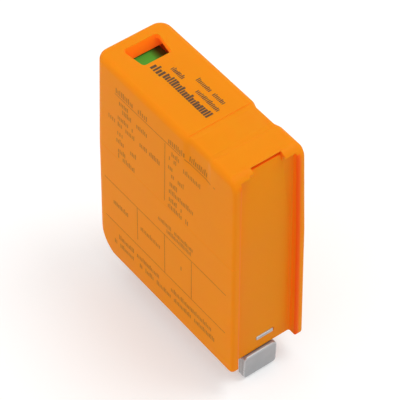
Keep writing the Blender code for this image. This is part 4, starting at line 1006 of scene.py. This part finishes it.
def wallPrint(rows, rules, sheet, finish):
    tree = Pattern("wallPrint", {
        "Wall": caseShell, "Heading": sheet["heading"], "Upright": sheet["upright"],
        "Ahead": sheet["ahead"] * mm, "Pitch": ink["pitch"], "Bar": ink["bar"],
        "Bold From": ink["boldFrom"] * mm, "Gap Share": ink["gapShare"], "Rule": ink["rule"] * mm,
        "Step": ink["step"] * mm, "Lift": ink["lift"] * mm, "Sink": ink["sink"] * mm, "Seed": ink["seed"],
        "Finish": finish,
    })
    labels = ("Heading", "Upright", "Rule", "Lift", "Sink")
    heading, upright, rule, lift, sink = [tree.input(label) for label in labels]
    height = tree.step("InputNamedAttribute", {"data_type": "FLOAT"}, Name="rowHeight")
    edges = {"domain": "EDGE"}
    parted = tree.step("SeparateGeometry", edges, Geometry=tree.input("Geometry"), Selection=height > 0)
    # rows: one bar at each step along the row, of uneven width and height, with some gaps
    row = tree.step("MeshToCurve", Mesh=parted)
    byLength = {"mode": "LENGTH"}
    spots = tree.step("ResampleCurve", byLength, Curve=row, Length=height * tree.input("Pitch"))
    order = tree.step("InputIndex")
    riseSeed, gapSeed = ink["seeds"]
    bold = (height > tree.input("Bold From")) * ink["bolder"] + 1
    wide = height * bold * tree.input("Bar") * tree.spread(0.8, 1.2, order)
    rise = (tree.spread(0, 4, order + riseSeed).floored() - 1).within(0, 2)
    tall = height * (ink["lowest"] + rise * ink["rise"])
    size = tree.vector("ADD", tree.combined(wide, 0, 0), tree.vector("SCALE", upright, Scale=tall))
    thick = tree.vector("SCALE", tree.vector("ABSOLUTE", heading), Scale=rule)
    raised = tree.vector("SCALE", upright, Scale=tall * 0.5 - height * (ink["lowest"] / 2))
    lifted = tree.step("SetPosition", Geometry=spots, Offset=raised)
    kept = tree.spread(0, 1, (order * 0.5).floored() + gapSeed) > tree.input("Gap Share")
    bars = tree.step(
        "InstanceOnPoints", Points=lifted, Selection=kept, Instance=tree.step("MeshCube"),
        Scale=tree.vector("ADD", size, thick),
    )
    # rules: a square section run along each line
    line = tree.step("MeshToCurve", Mesh=parted.beside("Inverted"))
    steps = tree.step("ResampleCurve", byLength, Curve=line, Length=tree.input("Step"))
    square = tree.step("CurvePrimitiveQuadrilateral", Width=rule, Height=rule)
    ruled = tree.step("CurveToMesh", Curve=steps, Profile_Curve=square, Fill_Caps=True)
    both = tree.step("JoinGeometry")
    for part in (ruled, bars):
        tree.tree.links.new(part.socket, both.socket.node.inputs[0])
    # each corner goes to the wall straight ahead of it, just outside or just inside the surface
    loose = tree.step("RealizeInstances", Geometry=both)
    spot = tree.step("InputPosition")
    wall = tree.step("ObjectInfo", Object=tree.input("Wall")).beside("Geometry")
    hit = tree.step(
        "Raycast", Target_Geometry=wall, Source_Position=spot, Ray_Direction=heading, Ray_Length=ink["reach"],
    ).beside("Hit Position")
    outer = tree.vector("DOT_PRODUCT", spot, heading) + tree.input("Ahead") < 0
    off = outer * (lift + sink) - sink
    place = tree.vector("ADD", hit, tree.vector("SCALE", hit.beside("Hit Normal"), Scale=off))
    laid = tree.step("SetPosition", Geometry=loose, Position=place)
    return outward(tree.shaped(printSeed(rows, rules, sheet), laid))


sidePrint = keep(wallPrint(sideRows, sideRules, sheets["side"], sideInk), "sidePrint", "case", sideInk)
topPrint = keep(wallPrint(topRows, [], sheets["top"], topInk), "topPrint", "case", topInk)
print("print:", len(sidePrint.data.polygons) + len(topPrint.data.polygons), "faces")


# The other nodes keep their form, with whole flats and broken edges where they can be seen

refinements = {  # node: (piece, body, finish, slot, width of the broken edge)
    "base_plate": ("basePlate", "case", orangePlastic, "case_orange", 0),
    "coding_peg_front": ("codingPegFront", "case", blackPlastic, "black_plastic", 0.12),
    "coding_peg_rear": ("codingPegRear", "case", blackPlastic, "black_plastic", 0.12),
    "status_flag_green": ("statusFlag", "slider", flagGreen, "flag_green", 0.15),
    "status_plate_red": ("statusPlate", "case", plateRed, "plate_red", 0.15),
    "trip_slider": ("tripSlider", "slider", naturalPlastic, "natural_plastic", 0),
    "mechanism_frame": ("mechanismFrame", "case", naturalPlastic, "natural_plastic", 0),
    "disconnect_arm": ("disconnectArm", "arm", copperStrip, "copper", 0.1),
}
for node, (piece, body, finish, slot, width) in refinements.items():
    made = keep(refined(node, width), piece, body, finish)
    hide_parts(node)

carried = {
    "varistor_block": blueCoating, "near_electrode": copperStrip, "far_electrode": copperStrip,
    "braided_link": copperBraid, "solder_joint": solderGrey, "pivot_pin": springSteel,
    "spring_guide_pin": springSteel, "braid_rivet": copperStrip, "electrode_rivet": copperStrip,
}
for node, finish in carried.items():
    nodes[node].material_slots[0].material = finish
print("refined pieces:", len(refinements), "carried nodes:", len(carried))


# Floor, light and camera

stageSizes = {
    "floorZ": -6.91, "floor": 4.0, "floorColour": 0.72, "floorLift": 0.30, "world": 0.84, "cameraWhite": 1.0,
}


def paleFloor():
    half, z = stageSizes["floor"] / 2, stageSizes["floorZ"] * mm
    bm = bmesh.new()
    bm.faces.new([bm.verts.new((x * half, y * half, z)) for x, y in ((-1, -1), (1, -1), (1, 1), (-1, 1))])
    mesh = takenFrom(bm)
    finish = Finish("paleFloor", Roughness=0.9, Specular_IOR_Level=0.1)
    finish.set("Base Color", finish.colour([stageSizes["floorColour"]] * 3))
    lift = (finish.ray("Camera") + finish.ray("Glossy")).within(0, 1) * stageSizes["floorLift"]
    glow = finish.node("ShaderNodeEmission", {}, {"Strength": lift})
    plain = Wire(finish, finish.shader.outputs[0])
    both = finish.node("ShaderNodeAddShader", {}, {0: plain, 1: glow})
    finish.feed(finish.tree.nodes["Material Output"].inputs["Surface"], both)
    mesh.materials.append(finish.material)
    placed("floor", mesh)


def paleWorld():
    world = bpy.data.worlds.new("studio")
    scene.world = world
    world.use_nodes = True
    desk = Desk(world.node_tree)
    seen = (desk.ray("Camera") + desk.ray("Glossy") + desk.ray("Transmission")).within(0, 1)
    strength = stageSizes["world"] + seen * (stageSizes["cameraWhite"] - stageSizes["world"])
    back = world.node_tree.nodes["Background"]
    desk.feed(back.inputs["Color"], (1, 1, 1, 1))
    desk.feed(back.inputs["Strength"], strength)


softBoxes = {  # name: (direction from the object, distance, size, power, colour)
    "key": ((0.20, 0.30, 0.93), 0.70, 0.30, 1.38, (0.93, 1.0, 1.0)),
    "nearSide": ((-0.35, -0.90, 0.30), 0.80, 0.70, 0.86, (1.0, 0.84, 0.74)),
}


def softLight(name, direction, distance, size, power, colour):
    lamp = bpy.data.lights.new(name, "AREA")
    lamp.shape, lamp.size, lamp.energy, lamp.color = "DISK", size, power, colour
    made = placed(name, lamp)
    heading = Vector(direction).normalized()
    made.location = Vector((0, 0, 26)) * mm + heading * distance
    made.rotation_euler = heading.to_track_quat("Z", "Y").to_euler()


camera = {
    "azimuth": 0.922167965, "elevation": 0.829610218, "roll": -0.00257956383, "aside": 0.109931543,
    "above": 1.38607756, "distance": 458.4, "lens": 214.344, "aim": (0.34, 0.30, 27.0),
}


def photoCamera():
    turn, rise, roll = camera["azimuth"], camera["elevation"], camera["roll"]
    back = Vector((math.sin(turn) * math.cos(rise), -math.cos(turn) * math.cos(rise), math.sin(rise)))
    level = (-back).cross(straightUp).normalized()
    upright = level.cross(-back)
    right = level * math.cos(roll) + upright * math.sin(roll)
    up = upright * math.cos(roll) - level * math.sin(roll)
    lens = bpy.data.cameras.new("photoCamera")
    lens.lens, lens.sensor_width, lens.sensor_fit = camera["lens"], 36, "AUTO"
    lens.clip_start, lens.clip_end = 0.01, 10
    made = placed("photoCamera", lens)
    place = Vector(camera["aim"]) - right * camera["aside"] - up * camera["above"] + back * camera["distance"]
    rotation = Matrix((right, up, back)).transposed()
    made.matrix_world = Matrix.Translation(place * mm) @ rotation.to_4x4()
    scene.camera = made


paleFloor()
paleWorld()
for name, box in softBoxes.items():
    softLight(name, *box)
photoCamera()
scene.view_settings.view_transform = "Standard"
print("stage and camera set")
